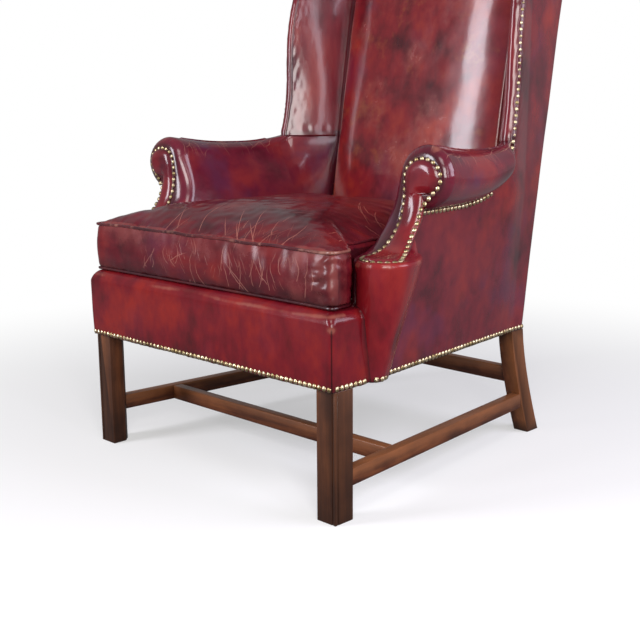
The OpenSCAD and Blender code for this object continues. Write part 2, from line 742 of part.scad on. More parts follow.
// Padded facing: a strip down the scroll, round the sweep and out over the lip
facing_inner = side_x(scroll_setback) + flare - neck_width;
facing_outer = facing_inner + neck_width;
scroll_width_share = 0.7;
scroll_height_share = 0.57;
scroll_half = scroll_radius * scroll_width_share;
scroll_half_height = scroll_radius * scroll_height_share;
scroll_middle = [facing_inner + scroll_half, scroll_top - scroll_radius];
lip_spread = lip_centre[0] + lip_radius - facing_outer;
lip_turn = [30, 50];
lip_power = 1.4;
lip_angles = [82, 60, 40, 20];
scroll_angles = [-56, -40, -20, 0, 20, 40, 58, 74, 84];
function lip_row(y) = let (w = lip_radius * bulge((y - lip_centre[1]) / lip_radius))
    [y, lip_height, 0, lip_centre[0] - w, lip_centre[0] + w];
function sweep_row(a) = [lip_setback + sweep_radius * sin(a), sweep_centre_z - sweep_radius * cos(a), a,
    lerp(lip_centre[0] - lip_radius, facing_inner, clamp01(a / lip_turn[0])),
    facing_outer + lip_spread * pow(max(0, 1 - a / lip_turn[1]), lip_power)];
function scroll_row(z) = let (w = scroll_half * bulge((z - scroll_middle[1]) / scroll_half_height))
    [scroll_setback, z, 90, z < scroll_middle[1] ? facing_inner : scroll_middle[0] - w, scroll_middle[0] + w];
facing_rows = concat(
    [for (a = lip_angles) lip_row(lip_centre[1] - lip_radius * sin(a))],
    [for (a = sweep_angles) sweep_row(a)],
    [for (a = scroll_angles) scroll_row(scroll_middle[1] + scroll_half_height * sin(a))]);
// Point on the facing's front or back face, from a row and a place across it
function facing_point(row, x, depth) = [x, row[0] + depth * sin(row[2]), row[1] - depth * cos(row[2])];

module arm_facing(side) {
    color(oxblood) on_side(side)
        skin([for (row = facing_rows) [facing_point(row, row[3], 0), facing_point(row, row[4], 0),
            facing_point(row, row[4], facing_thickness), facing_point(row, row[3], facing_thickness)]]);
}

// Tapering half cone under the lip, with a tail that fades back along the outside panel
cone_top = lip_height - facing_thickness;
cone_level_shares = [0, 0.25, 0.5, 0.75, 0.94, 0.98, 1];
cone_pulls = [0, 0, 0, 0, 0, hide / 2, 2 * hide];
cone_angles = [for (a = [180:15:375]) a];
tail_swell_share = 0.06;
tail_bend_share = 0.55;
foot_points = [10, 11, 12, 13, 14];
cone_foot_x = side_x(lip_setback) + cone_foot_reach - cone_foot_radius;
cone_tail = lip_setback + 2 * cone_foot_radius;
function cone_ring(share, pull) = let (
    z = lerp(rail_underside, cone_top, share),
    c = [lerp(cone_foot_x, lip_centre[0], share), lip_centre[1]],
    r = lerp(cone_foot_radius, rim_radius, share) - pull,
    tail_y = lerp(cone_tail, scroll_setback + 4 * hide, share) - pull)
    concat([for (a = cone_angles) [c[0] + r * cos(a), c[1] + r * sin(a), z]],
        [[lerp(c[0] + r, panel_x(tail_y, z), 0.5) + r * tail_swell_share,
                lerp(c[1], tail_y, tail_bend_share), z],
            [panel_x(tail_y, z), tail_y, z], [panel_x(tail_y, z) - arm_thickness / 2, tail_y, z],
            [c[0] - r, lerp(c[1], tail_y, 0.5), z]]);

module arm_cone(side) {
    color(oxblood) on_side(side) difference() {
        skin([for (i = [0:len(cone_pulls) - 1]) cone_ring(cone_level_shares[i], cone_pulls[i])]);
        inboard(lip_setback, wing_setback, rail_underside - overrun, lip_height + overrun, 0);
        apron_block();
    }
}

// Outside of the arm and wing in one sheet: its front edge runs up behind the facing, back under
// the roll and up the wing, and its rear edge follows the back
junction_level_shares = [0.02, 0.1, 0.25, 0.45, 0.7, 1];
upper_level_shares = [0.25, 0.5, 0.7, 0.82, 0.9, 0.95, 0.98, 0.997];
panel_levels = concat([rail_underside, deck_height],
    [for (a = sweep_angles) min(sweep_centre_z - body_sweep * cos(a), junction_height)],
    [for (s = junction_level_shares) lerp(junction_height, wing_seam, s)],
    [for (s = upper_level_shares) lerp(wing_seam, wing_top, s)]);
knee_share = 0.4;
function panel_front(z) = z <= junction_height ? body_front(z)
    : z <= wing_seam ? junction_y(z)
    : wing_edge(z);
function panel_row(z, inset) = let (front = panel_front(z), back = back_y(z),
    knee = front < arm_rail_back ? arm_rail_back : lerp(front, back, knee_share))
    [for (y = concat([for (s = [0:2]) lerp(front, knee, s / 3)], [for (s = [0:4]) lerp(knee, back, s / 4)]))
        [panel_x(y, z) - inset, y, z]];

module outside_panel(side) {
    color(oxblood) on_side(side)
        skin([for (z = panel_levels) let (outer = panel_row(z, 0), inner = panel_row(z, hide))
            concat(outer, [for (i = [len(inner) - 1:-1:0]) inner[i]])]);
}

// Stuffed inside of the wing: its border faces forward, and its face turns in to the back
wing_slab_share = 0.55;
wing_slab = board_width * wing_slab_share;
wing_level_shares = [0, 0.15, 0.3, 0.45, 0.6, 0.72, 0.82, 0.9, 0.96];
function wing_ring(z) = let (y0 = wing_edge(z), border = [wing_seam_x(z), wing_seam_y(z)],
    edge = [back_half_width, back_edge_y(z)], along = (edge - border) / norm(edge - border),
    out = [-along[1], along[0]] * -wing_slab,
    deep = [min(edge[0] + out[0], panel_x(edge[1] + out[1], z) - board_inner), edge[1] + out[1]])
    [[border[0], border[1], z], [panel_x(y0, z) - hide, y0, z],
        [min(border[0] + out[0], panel_x(y0, z) - hide - cloth), max(y0, border[1] + out[1]), z],
        [deep[0], deep[1], z], [edge[0], edge[1], z],
        [lerp(border[0], edge[0], 0.5) - hide, lerp(border[1], edge[1], 0.5) - hide, z]];

module inside_wing(side) {
    levels = [for (s = wing_level_shares) lerp(wing_seam, wing_top, s)];
    color(oxblood) on_side(side) difference() {
        skin([for (z = levels) wing_ring(z)]);
        wing_post_form(overrun);
        wing_rail_form(overrun);
        crest_roll();
    }
}

// Stuffed inside back, swelling between its edges and rolled over the crest
back_column_shares = [-1, -0.85, -0.6, -0.3, 0, 0.3, 0.6, 0.85, 1];
back_level_shares = [0, 0.15, 0.3, 0.45, 0.6, 0.75, 0.88, 1];
function back_ring(z) = let (columns = [for (s = back_column_shares) s * back_half_width],
    rear_y = webbing_y(z) - cloth - clear)
    concat([for (x = columns) [x, back_front(x, z), z]],
        [for (i = [len(columns) - 1:-1:0]) [columns[i], rear_y, z]]);

module inside_back() {
    levels = [for (s = back_level_shares) lerp(deck_height, post_top - edge_roll + overrun, s)];
    color(oxblood) place() union() {
        skin([for (z = levels) back_ring(z)]);
        difference() {
            crest_roll();
            wing_rail_form(overrun);
            mirror([1, 0, 0]) wing_rail_form(overrun);
        }
    }
}

// Roll of stuffing over the crest rail: a half round from the inside back over to the outside back
crest_steps = 8;
crest_shares = [1, 0.75, 0.4, 0, -0.4, -0.75, -1];
module crest_roll() {
    z0 = post_top - edge_roll;
    skin([for (s = crest_shares)
        let (x = s * (rear_half - hide), top = overall_height - crest_drop * s * s,
            seat = webbing_y(z0) - overrun, front = crest_front - swell(s) - hide)
            concat([[x, front, z0]],
                [for (k = [0:crest_steps]) let (a = 180 * k / crest_steps)
                    [x, lerp(front, crest_back, (1 - cos(a)) / 2), lerp(post_top, top, sin(a))]],
                [[x, seat, post_top], [x, seat, z0]])]);
}

module outside_back() {
    levels = [for (s = [0:0.1:1]) lerp(rail_underside, post_top, s)];
    reach = rear_half - hide;
    color(oxblood) place() profile(-reach, 2 * reach)
        polygon(concat([for (z = levels) [back_y(z), z]],
            [for (i = [len(levels) - 1:-1:0]) [back_y(levels[i]) - hide, levels[i]]]));
}

// Domed nail with its shank, standing on a surface whose normal is +Z
shank_share = 0.15;
module nail(diameter) {
    r = (diameter * diameter / 4 + nail_height * nail_height) / (2 * nail_height);
    rotate_extrude($fn = fine) intersection() {
        translate([0, nail_height - r]) circle(r = r, $fn = fine * 2);
        square([diameter / 2, nail_height]);
    }
    translate([0, 0, -2 * nail_height])
        cylinder(h = 2 * nail_height, d = diameter * shank_share, $fn = fine / 2);
}

nail_row = rail_underside + rail_nail / 2;
module rail_nails() {
    front_count = floor((front_width - rail_nail) / rail_pitch);
    rear_count = floor((rear_width - rail_nail) / rail_pitch);
    side_count = floor((frame_depth - rail_nail / 2 - cone_tail) / rail_pitch);
    cone_meets = lip_centre[1] - sqrt(pow(cone_foot_radius, 2) - pow(front_half - cone_foot_x, 2));
    apron_count = floor((cone_meets - rail_nail / 2) / rail_pitch - 0.5);
    ring = cone_ring((nail_row - rail_underside) / (cone_top - rail_underside), 0);
    foot = [for (i = foot_points) let (p = ring[i], t = ring[i + 1] - ring[i - 1])
        [p[0], p[1], nail_row, atan2(-t[0], t[1])]];
    color(brass) place() {
        for (k = [0:front_count]) translate([(k - front_count / 2) * rail_pitch, -front_padding, nail_row])
            rotate([90, 0, 0]) nail(rail_nail);
        for (k = [0:rear_count]) translate([(k - rear_count / 2) * rail_pitch, back_y(nail_row), nail_row])
            rotate([-90, 0, 0]) nail(rail_nail);
    }
    color(brass) for (side = [-1, 1]) on_side(side) {
        for (k = [0:side_count]) let (y = frame_depth - rail_nail / 2 - k * rail_pitch)
            translate([panel_x(y, nail_row), y, nail_row]) rotate([0, 90, taper_angle]) nail(rail_nail);
        for (k = [0:apron_count]) let (y = (k + 0.5) * rail_pitch)
            translate([front_half, y, nail_row]) rotate([0, 90, 0]) nail(rail_nail);
        for (p = spaced(foot, rail_pitch))
            translate([p[0], p[1], p[2]]) rotate([0, 90, p[3]]) nail(rail_nail);
    }
}

// Points at an even pitch along a polyline whose points also carry a tilt
function lengths(path, i = 0, sum = 0) = i >= len(path) ? []
    : let (s = sum + (i == 0 ? 0 : norm([for (k = [0:2]) path[i][k] - path[i - 1][k]])))
        concat([s], lengths(path, i + 1, s));
function along(path, at, s, i = 1) = i >= len(path) - 1 || at[i] >= s
    ? lerp(path[i - 1], path[i], clamp01((s - at[i - 1]) / max(cloth / 10, at[i] - at[i - 1])))
    : along(path, at, s, i + 1);
function spaced(path, pitch) = let (at = lengths(path), total = at[len(at) - 1], count = round(total / pitch))
    [for (k = [0:count]) along(path, at, total * k / count)];

function facing_edge(column) = [for (row = facing_rows) let (p = facing_point(row, row[column], 0))
    [p[0], p[1], p[2], row[2]]];
module facing_nails(side) {
    inner = facing_edge(3);
    outer = facing_edge(4);
    loop = concat(inner, [for (i = [len(outer) - 1:-1:0]) outer[i]], [inner[0]]);
    points = spaced(loop, arm_pitch);
    color(brass) on_side(side)
        for (k = [0:len(points) - 2]) let (p = points[k])
            translate([p[0], p[1], p[2]]) rotate([p[3], 0, 0]) nail(arm_nail);
}

// Nails under the roll, where its hide is fixed to the outside panel
roll_nail_share = 0.65;
module roll_nails(side) {
    first = scroll_setback + arm_nail;
    count = floor((lerp(junction_bend, wing_setback, roll_nail_share) - first) / arm_pitch);
    color(brass) on_side(side)
        for (k = [0:count]) let (y = first + k * arm_pitch, z = junction_z(y) - arm_nail / 2)
            translate([panel_x(y, z), y, z]) rotate([0, 90, taper_angle]) nail(arm_nail);
}

wing_nail_turn = 25;
wing_nail_foot_share = 0.7;
module wing_nails(side) {
    foot = lerp(junction_height, wing_seam, wing_nail_foot_share);
    path = [for (z = concat([foot], [for (s = [0.1:0.1:1]) lerp(wing_seam, wing_top - board, s)]))
        let (y = panel_front(z)) [panel_x(y, z) - arm_nail / 2, y - hide, z, 0]];
    color(brass) on_side(side)
        for (p = spaced(path, arm_pitch)) translate([p[0], p[1], p[2]])
            rotate([90, 0, wing_nail_turn]) nail(arm_nail);
}

// Half outline of the cushion from the middle of its front, round the ear and along the arm
cushion_front = hide;
cushion_clear = 3 * clear;
cushion_back = back_front(0, deck_height) - cushion_clear - draw_in;
ear_corner = 6 * hide;
function front_line(x) = cushion_front + draw_in * bulge(x / ear_half_width);
boxing_pull = hide;
notch_clear = boxing_pull + welt / 2 + cushion_clear;
function cone_arc(a) = let (r = rim_radius + notch_clear)
    [lip_centre[0] + r * cos(a), lip_centre[1] + r * sin(a)];
front_shares = [0, 0.2, 0.4, 0.6, 0.8];
side_shares = [0, 0.15, 0.4, 0.65, 0.85, 1];
rear_shares = [0.9, 0.6, 0.3];
function half_outline() = concat(
    [for (s = front_shares) let (x = s * (ear_half_width - ear_corner)) [x, front_line(x)]],
    [for (a = [-90:22.5:0]) [ear_half_width - ear_corner + ear_corner * cos(a),
        cushion_front + ear_corner + ear_corner * sin(a)]],
    [for (a = [245:-13:206]) let (p = cone_arc(a)) [min(p[0], ear_half_width), p[1]]],
    [for (s = side_shares)
        let (y = lerp(lip_setback - notch_clear, cushion_back - ear_corner, s))
            [arm_in(y) - cushion_clear - draw_in * sin(180 * s), y]],
    [for (s = rear_shares) let (x = s * back_half_width)
        [x, back_front(x, deck_height) - cushion_clear - draw_in]]);
function mirrored(points) = [for (i = [len(points) - 1:-1:1]) [-points[i][0], points[i][1]]];
cushion_outline = let (half = half_outline())
    concat(half, [[0, cushion_back]], mirrored(half));
cushion_centre = [0, lerp(cushion_front, cushion_back, 0.5)];
cushion_rest = 0.3;
cushion_floor = deck_height + cushion_rest + welt / 2;
cushion_seam = cushion_floor + boxing_height;

// Ring of the cushion at a share of its plan, drawn in by a length, at a height
function cushion_ring(share, pull, z, lift) = [for (p = cushion_outline)
    let (d = p - cushion_centre, k = share * (1 - pull / norm(d)), q = cushion_centre + k * d)
        [q[0], q[1], z + lift]];
// Small round ring that closes the cushion's face inside its last ring, in front of its middle, where
// every point of that ring is in sight past the ears
function cushion_hub(ring, share, z) = let (c = [0, lerp(cushion_front, cushion_back, share)])
    [for (p = ring) let (d = [p[0], p[1]] - c, q = c + 4 * welt / norm(d) * d) [q[0], q[1], z]];
base_share = 0.8;
base_hub_share = 0.3;
crown_shares = [0.96, 0.88, 0.74, 0.55, 0.32];
crown_hub_share = 0.42;
module seat_cushion() {
    base = cushion_ring(base_share, 0, deck_height + cushion_rest, 0);
    crowned = [for (s = crown_shares) cushion_ring(s, boxing_pull, cushion_seam, crown * (1 - pow(s, 3)))];
    color(oxblood) place() skin(concat(
        [cushion_hub(base, base_hub_share, deck_height + cushion_rest), base],
        [cushion_ring(1, boxing_pull, cushion_floor, 0)],
        [cushion_ring(1, boxing_pull / 2, lerp(cushion_floor, cushion_seam, 0.5), 0)],
        [cushion_ring(1, boxing_pull, cushion_seam, 0)],
        crowned, [cushion_hub(crowned[len(crowned) - 1], crown_hub_share, cushion_seam + crown)]));
}

// Piped welt round the cushion at one height
welt_sides = 6;
module cushion_welt(z) {
    line = cushion_ring(1, boxing_pull, z, 0);
    n = len(line);
    points = [for (i = [0:n - 1]) let (t = line[(i + 1) % n] - line[(i + n - 1) % n], u = t / norm(t))
        each [for (k = [0:welt_sides - 1]) let (a = 360 * k / welt_sides)
            line[i] + welt / 2 * [u[1] * cos(a), -u[0] * cos(a), sin(a)]]];
    count = len(points);
    color(oxblood) place() polyhedron(points, [for (i = [0:n - 1], k = [0:welt_sides - 1])
        let (a = i * welt_sides + k, b = i * welt_sides + (k + 1) % welt_sides)
            each [[a, b, (b + welt_sides) % count], [a, (b + welt_sides) % count, (a + welt_sides) % count]]],
        convexity = 8);
}

module cushion_welt_top() {
    cushion_welt(cushion_seam);
}

module cushion_welt_bottom() {
    cushion_welt(cushion_floor);
}

front_leg(-1);  // front_leg_left
front_leg(1);  // front_leg_right
rear_leg(-1);  // rear_leg_left
rear_leg(1);  // rear_leg_right
side_stretcher(-1);  // side_stretcher_left
side_stretcher(1);  // side_stretcher_right
cross_stretcher();
rear_stretcher();
front_seat_rail();
side_seat_rail(-1);  // side_seat_rail_left
side_seat_rail(1);  // side_seat_rail_right
rear_seat_rail();
corner_blocks();
corner_screws();
back_post(-1);  // back_post_left
back_post(1);  // back_post_right
crest_rail();
lower_back_rail();
arm_stump(-1);  // arm_stump_left
arm_stump(1);  // arm_stump_right
arm_rail(-1);  // arm_rail_left
arm_rail(1);  // arm_rail_right
arm_tack_rail(-1);  // arm_tack_rail_left
arm_tack_rail(1);  // arm_tack_rail_right
wing_post(-1);  // wing_post_left
wing_post(1);  // wing_post_right
wing_rail(-1);  // wing_rail_left
wing_rail(1);  // wing_rail_right
seat_webbing();
seat_springs();
seat_burlap();
seat_platform();
dust_cover();
back_webbing();
front_apron();
inside_arm(-1);  // inside_arm_left
inside_arm(1);  // inside_arm_right
arm_facing(-1);  // arm_facing_left
arm_facing(1);  // arm_facing_right
arm_cone(-1);  // arm_cone_left
arm_cone(1);  // arm_cone_right
outside_panel(-1);  // outside_panel_left
outside_panel(1);  // outside_panel_right
inside_wing(-1);  // inside_wing_left
inside_wing(1);  // inside_wing_right
inside_back();
outside_back();
rail_nails();
facing_nails(-1);  // facing_nails_left
facing_nails(1);  // facing_nails_right
roll_nails(-1);  // roll_nails_left
roll_nails(1);  // roll_nails_right
wing_nails(-1);  // wing_nails_left
wing_nails(1);  // wing_nails_right
seat_cushion();
cushion_welt_top();
cushion_welt_bottom();
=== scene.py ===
import math

import bpy
import numpy as np
from mathutils import Matrix, Vector


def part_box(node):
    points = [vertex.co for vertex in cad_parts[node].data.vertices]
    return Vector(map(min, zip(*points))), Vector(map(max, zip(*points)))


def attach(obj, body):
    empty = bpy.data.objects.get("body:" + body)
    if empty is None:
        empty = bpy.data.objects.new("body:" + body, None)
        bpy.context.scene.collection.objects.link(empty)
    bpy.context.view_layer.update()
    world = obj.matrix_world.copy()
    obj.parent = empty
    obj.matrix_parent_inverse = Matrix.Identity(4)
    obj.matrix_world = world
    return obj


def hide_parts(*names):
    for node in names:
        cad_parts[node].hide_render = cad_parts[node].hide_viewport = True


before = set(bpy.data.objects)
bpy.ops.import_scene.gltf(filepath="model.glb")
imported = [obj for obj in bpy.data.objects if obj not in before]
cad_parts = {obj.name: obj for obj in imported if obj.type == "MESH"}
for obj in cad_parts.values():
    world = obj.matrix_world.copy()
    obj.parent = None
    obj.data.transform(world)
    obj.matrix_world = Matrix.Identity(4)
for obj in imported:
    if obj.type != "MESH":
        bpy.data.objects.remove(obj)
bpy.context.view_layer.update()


# FRONT LEGS
# Two square legs of mahogany, planed and scraped, with a bead run between two quirks down the outer
# front corner and the inner back corner planed off. The edges are eased by hand. Their outer faces are
# painted paler in bands, partly as rubbing and partly as light falling from the side.
class Wire:
    """One value of a finish. Sums written on it become Math nodes."""

    def __init__(self, socket):
        self.socket = socket

    def __add__(self, other):
        return maths("ADD", self, other)

    def __sub__(self, other):
        return maths("SUBTRACT", self, other)

    def __rsub__(self, other):
        return maths("SUBTRACT", other, self)

    def __mul__(self, other):
        return maths("MULTIPLY", self, other)

    def __truediv__(self, other):
        return maths("DIVIDE", self, other)

    def __pow__(self, other):
        return maths("POWER", self, other)

    __radd__ = __add__
    __rmul__ = __mul__


def maths(operation, *values):
    tree = next(value.socket.node.id_data for value in values if isinstance(value, Wire))
    node = tree.nodes.new("ShaderNodeMath")
    node.operation = operation
    for socket, value in zip(node.inputs, values):
        feed(tree, socket, value)
    return Wire(node.outputs[0])


def feed(tree, socket, value):
    if isinstance(value, Wire):
        tree.links.new(value.socket, socket)
    else:
        socket.default_value = value


def step(value, low, high):
    """0 below low, 1 above high, with a soft change between them."""
    share = maths("MINIMUM", maths("MAXIMUM", (value - low) / (high - low), 0.0), 1.0)
    return share * share * (3.0 - 2.0 * share)


def tone(code):
    """A colour as it is seen, written as six hexadecimal digits, for a socket."""
    seen = [int(code[i : i + 2], 16) / 255 for i in (0, 2, 4)]
    return [c / 12.92 if c < 0.04045 else ((c + 0.055) / 1.055) ** 2.4 for c in seen] + [1.0]


class Finish:
    """Node material of one real finish, read on the piece's own coordinates in metres."""

    def __init__(self, name, world=None, **plain):
        self.material = world or bpy.data.materials.new(name)
        self.material.use_nodes = True
        self.tree = self.material.node_tree
        self.shader = self.tree.nodes.get("Principled BSDF")
        self.place = self.add("TexCoord", {}, {}, "Object")
        for socket, value in plain.items():
            self.shader.inputs[socket.replace("_", " ")].default_value = value

    def add(self, kind, settings, sockets, output=0):
        node = self.tree.nodes.new("ShaderNode" + kind)
        for name, value in settings.items():
            if name == "stops":
                ramp = node.color_ramp.elements
                while len(ramp) < len(value):
                    ramp.new(0.5)
                for element, (position, colour) in zip(ramp, value):
                    element.position, element.color = position, colour
            else:
                setattr(node, name, value)
        for name, value in sockets.items():
            found = next(s for s in node.inputs if name in (s.identifier, s.name))
            feed(self.tree, found, value)
        found = [s for s in node.outputs if output in (s.identifier, s.name)]
        return Wire(found[0] if found else node.outputs[output])

    def clouds(self, size, detail=3.0, stretch=(1, 1, 1), shift=(0, 0, 0), roughness=0.55):
        """Soft noise from 0 to 1, whose blots are about size across, in metres."""
        scale = [s / size for s in stretch]
        moved = self.add("Mapping", {}, {"Vector": self.place, "Scale": scale, "Location": shift})
        return self.add("TexNoise", {}, {
            "Vector": moved, "Scale": 1.0, "Detail": detail, "Roughness": roughness})

    def mix(self, first, second, factor):
        sockets = {"Factor_Float": factor, "A_Color": first, "B_Color": second}
        return self.add("Mix", {"data_type": "RGBA"}, sockets, "Result_Color")

    def mark(self, name):
        """A value that the piece carries at each of its points."""
        return self.add("Attribute", {"attribute_name": name}, {}, "Fac")

    def parts(self, vector):
        """The three numbers of a vector."""
        split = self.add("SeparateXYZ", {}, {"Vector": vector}).socket.node
        return [Wire(part) for part in split.outputs]

    def finish(self, colour, roughness, height=None, depth=0.001):
        feed(self.tree, self.shader.inputs["Base Color"], colour)
        feed(self.tree, self.shader.inputs["Roughness"], roughness)
        if height is not None:
            bump = self.add("Bump", {}, {"Height": height, "Distance": depth})
            feed(self.tree, self.shader.inputs["Normal"], bump)
        return self.material


def mahogany(name, along):
    """Old polished mahogany, with its grain along one axis: dark in the pores, golden where it is rubbed and
    where light is painted on, and darker where shade is painted.
    """
    wood = Finish(name, Specular_IOR_Level=0.3, Coat_Weight=0.12, Coat_Roughness=0.2)
    stretch = [0.045 if axis == along else 1.0 for axis in range(3)]
    figure = wood.clouds(0.011, 5.0, stretch, shift=(along, 3 * along, 2))
    pores = wood.clouds(0.0016, 3.0, stretch, roughness=0.7)
    blots = wood.clouds(0.09, 3.0, shift=(5, along, 1))
    # Paler where rubbed, and also where light is painted on the legs' outer faces and the stretchers' upper
    # edges.
    rubbed_and_lit = step(wood.mark("rub") + 0.35 * blots, 0.45, 1.0)
    base = wood.add("ValToRGB", {"stops": [
        (0.30, tone("26110a")), (0.46, tone("4a2414")), (0.58, tone("6b3a20")), (0.74, tone("8a522e"))]},
        {"Fac": figure * 0.62 + blots * 0.38}, "Color")
    darker = wood.mix(base, tone("1c0c08"), step(pores, 0.56, 0.72) * 0.6)
    worn_and_lit = wood.mix(darker, tone("9c6540"), rubbed_and_lit * 0.45)
    # Painted shade, with some dirt: darker at the feet, under the rails and below the stretchers' upper
    # edges.
    grimy_and_shaded = wood.mix(worn_and_lit, tone("140906"), wood.mark("grime") * 0.85)
    return wood.finish(grimy_and_shaded, 0.34 + 0.22 * pores - 0.08 * rubbed_and_lit, pores * 0.5 + figure * 0.5, 0.0006)


def dress(piece, material):
    piece.data.materials.clear()
    piece.data.materials.append(material)


leg_front, underside = 390, 242  # from the chair's middle to its front legs, and from the floor to its rails


def rows_of(piece, field="co"):
    """One vector of each of the piece's points."""
    rows = np.empty(len(piece.data.vertices) * 3)
    piece.data.vertices.foreach_get(field, rows)
    return rows.reshape(-1, 3)


def sizes(piece):
    """The piece's points in millimetres from the front of the legs, as three arrays."""
    x, y, z = rows_of(piece).T * 1000
    return x, y + leg_front, z


def mark(piece, name, rule):
    """Writes a value from 0 to 1 on every point of the piece, from a rule on its place."""
    values = piece.data.attributes.get(name) or piece.data.attributes.new(name, "FLOAT", "POINT")
    values.data.foreach_set("value", np.clip(rule(*sizes(piece)), 0, 1).astype(np.float32))


def only(piece):
    bpy.ops.object.select_all(action="DESELECT")
    piece.select_set(True)
    bpy.context.view_layer.objects.active = piece


def tidied(piece, recalculate=True, gap=0.00002):
    """Merges the points that lie within a gap of each other, and may turn all faces outwards."""
    only(piece)
    bpy.ops.object.mode_set(mode="EDIT")
    bpy.ops.mesh.select_all(action="SELECT")
    bpy.ops.mesh.remove_doubles(threshold=gap)
    if recalculate:
        bpy.ops.mesh.normals_make_consistent(inside=False)
    bpy.ops.object.mode_set(mode="OBJECT")


def settle(piece, kind, **settings):
    """One modifier on the piece, applied."""
    only(piece)
    modifier = piece.modifiers.new(kind.title(), kind)
    for name, value in settings.items():
        setattr(modifier, name, value)
    bpy.ops.object.modifier_apply(modifier=modifier.name)


def carry(piece, body, node):
    """The piece moves with a body, and stands in place of its node."""
    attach(piece, body)
    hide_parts(node)


def placed(name, data):
    """A new object in the scene."""
    made = bpy.data.objects.new(name, data)
    bpy.context.scene.collection.objects.link(made)
    return made


def worked(node, material, ease=0.0014):
    """A wooden member taken over from its node, its faces made whole and its edges eased."""
    piece = placed(node + "_wood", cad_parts[node].data.copy())
    tidied(piece, False)
    bpy.ops.object.mode_set(mode="EDIT")
    bpy.ops.mesh.dissolve_limited(angle_limit=math.radians(0.5))
    bpy.ops.object.mode_set(mode="OBJECT")
    settle(piece, "BEVEL", width=ease, segments=3, limit_method="ANGLE", angle_limit=math.radians(30))
    bpy.ops.object.shade_smooth_by_angle(angle=math.radians(38))
    dress(piece, material)
    carry(piece, "chair", node)
    return piece


def leg_grime_and_shade(x, y, z):
    """Darker at the feet, and painted shade just under the rails."""
    return np.exp(-z / 9) + 0.8 * np.exp(-(underside - z) / 6) * (z < 243)


upright = mahogany("mahogany_upright", 2)
for side in ("left", "right"):
    leg = worked("front_leg_" + side, upright)
    mark(leg, "grime", leg_grime_and_shade)
    # Outer faces paler in bands: rubbing, and painted light from the side.
    mark(leg, "rub", lambda x, y, z: 0.5 + 0.5 * np.sin(z / 37) * (abs(x) > 350))

# REAR LEGS
# Two legs that sweep back to the floor, sawn to the curve from one thick board so that the grain runs
# straight down through them. Their feet are darker, and their outer faces are painted paler, partly as
# rubbing and partly as light falling from the side.
for side in ("left", "right"):
    leg = worked("rear_leg_" + side, upright)
    mark(leg, "grime", leg_grime_and_shade)
    # Outer faces paler: rubbing, and painted light from the side.
    mark(leg, "rub", lambda x, y, z: 0.35 + 0.55 * (abs(x) > 290))

# STRETCHERS
# Side and cross stretchers tenoned low between the legs, and a higher one at the rear. Shoes and brooms
# have rubbed their upper edges pale, and a highlight is painted along them as well. Below those edges
# the wood is painted a little darker, as shade under the seat.
stretcher_woods = {
    "side_stretcher_left": mahogany("mahogany_lengthwise", 1),
    "side_stretcher_right": bpy.data.materials["mahogany_lengthwise"],
    "cross_stretcher": mahogany("mahogany_crosswise", 0),
    "rear_stretcher": bpy.data.materials["mahogany_crosswise"],
}
for node, wood in stretcher_woods.items():
    bar = worked(node, wood, 0.0022)
    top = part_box(node)[1].z * 1000
    # Upper edge paler: rubbing, and a painted highlight.
    mark(bar, "rub", lambda x, y, z: 0.2 + 0.9 * np.exp(-(top - z) / 5))
    # Painted shade below the upper edge.
    mark(bar, "grime", lambda x, y, z: 0.25 * (z < top - 8))

# HIDDEN FRAME
# Rails, posts and blocks of beech, sawn and left unpolished, and the steel screws and springs. The hide
# covers all of it, so it shows only where a cover is taken off.
beech = Finish("sawn_beech")
grain = beech.clouds(0.02, 4.0, (1.0, 0.15, 0.15))
flecks = beech.clouds(0.004, 2.0, (0.25, 1.0, 1.0))
sawn = beech.mix(tone("b08a5c"), tone("cfae80"), grain)
beech_colour = beech.mix(sawn, tone("8c6840"), step(flecks, 0.6, 0.7))
beech.finish(beech_colour, 0.62 + 0.15 * flecks, grain * 0.6 + flecks * 0.4, 0.0005)
steel = Finish("tinned_steel", Metallic=1.0)
spots = steel.clouds(0.006)
steel.finish(steel.mix(tone("9a9c9f"), tone("6d6a66"), step(spots, 0.5, 0.7)), 0.3 + 0.3 * spots)
beech_nodes = ["front_seat_rail", "rear_seat_rail", "corner_blocks", "crest_rail", "lower_back_rail"] + [
    name + side for side in ("_left", "_right") for name in (
        "side_seat_rail", "back_post", "arm_stump", "arm_rail", "arm_tack_rail", "wing_post", "wing_rail")]
for node in beech_nodes:
    dress(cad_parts[node], beech.material)
for node in ("corner_screws", "seat_springs"):
    dress(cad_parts[node], steel.material)


# WEBBING, BURLAP AND DECK
# Jute straps, tacked in two layers that cross under the springs and once across the back. Burlap lies
# over the springs, and a quilted cotton deck over that carries the loose cushion.
def lerp(a, b, t):
    return a + (b - a) * t


def moved_to(piece, place):
    """Sets the piece's points to places in metres."""
    piece.data.vertices.foreach_set("co", place.ravel())
    piece.data.update()


def laid(name, points):
    """A grid bent to rows of points, given in millimetres from the front of the legs."""
    rows, columns = points.shape[:2]
    bpy.ops.object.select_all(action="DESELECT")
    bpy.ops.mesh.primitive_grid_add(x_subdivisions=columns - 1, y_subdivisions=rows - 1, size=1)
    piece = bpy.context.object
    piece.name = piece.data.name = name
    u, v = rows_of(piece)[:, :2].T + 0.5
    place = points[np.rint(v * (rows - 1)).astype(int), np.rint(u * (columns - 1)).astype(int)]
    moved_to(piece, (place - [0, leg_front, 0]) / 1000)
    bpy.ops.object.shade_smooth()
    return piece


def surface(name, across, along, place):
    """A grid bent to its place: place(u, v) gives x, y and z for arrays of shares from 0 to 1."""
    u, v = np.meshgrid(np.linspace(0, 1, across + 1), np.linspace(0, 1, along + 1))
    return laid(name, np.stack(np.broadcast_arrays(*place(u, v), 0 * u)[:3], axis=2))


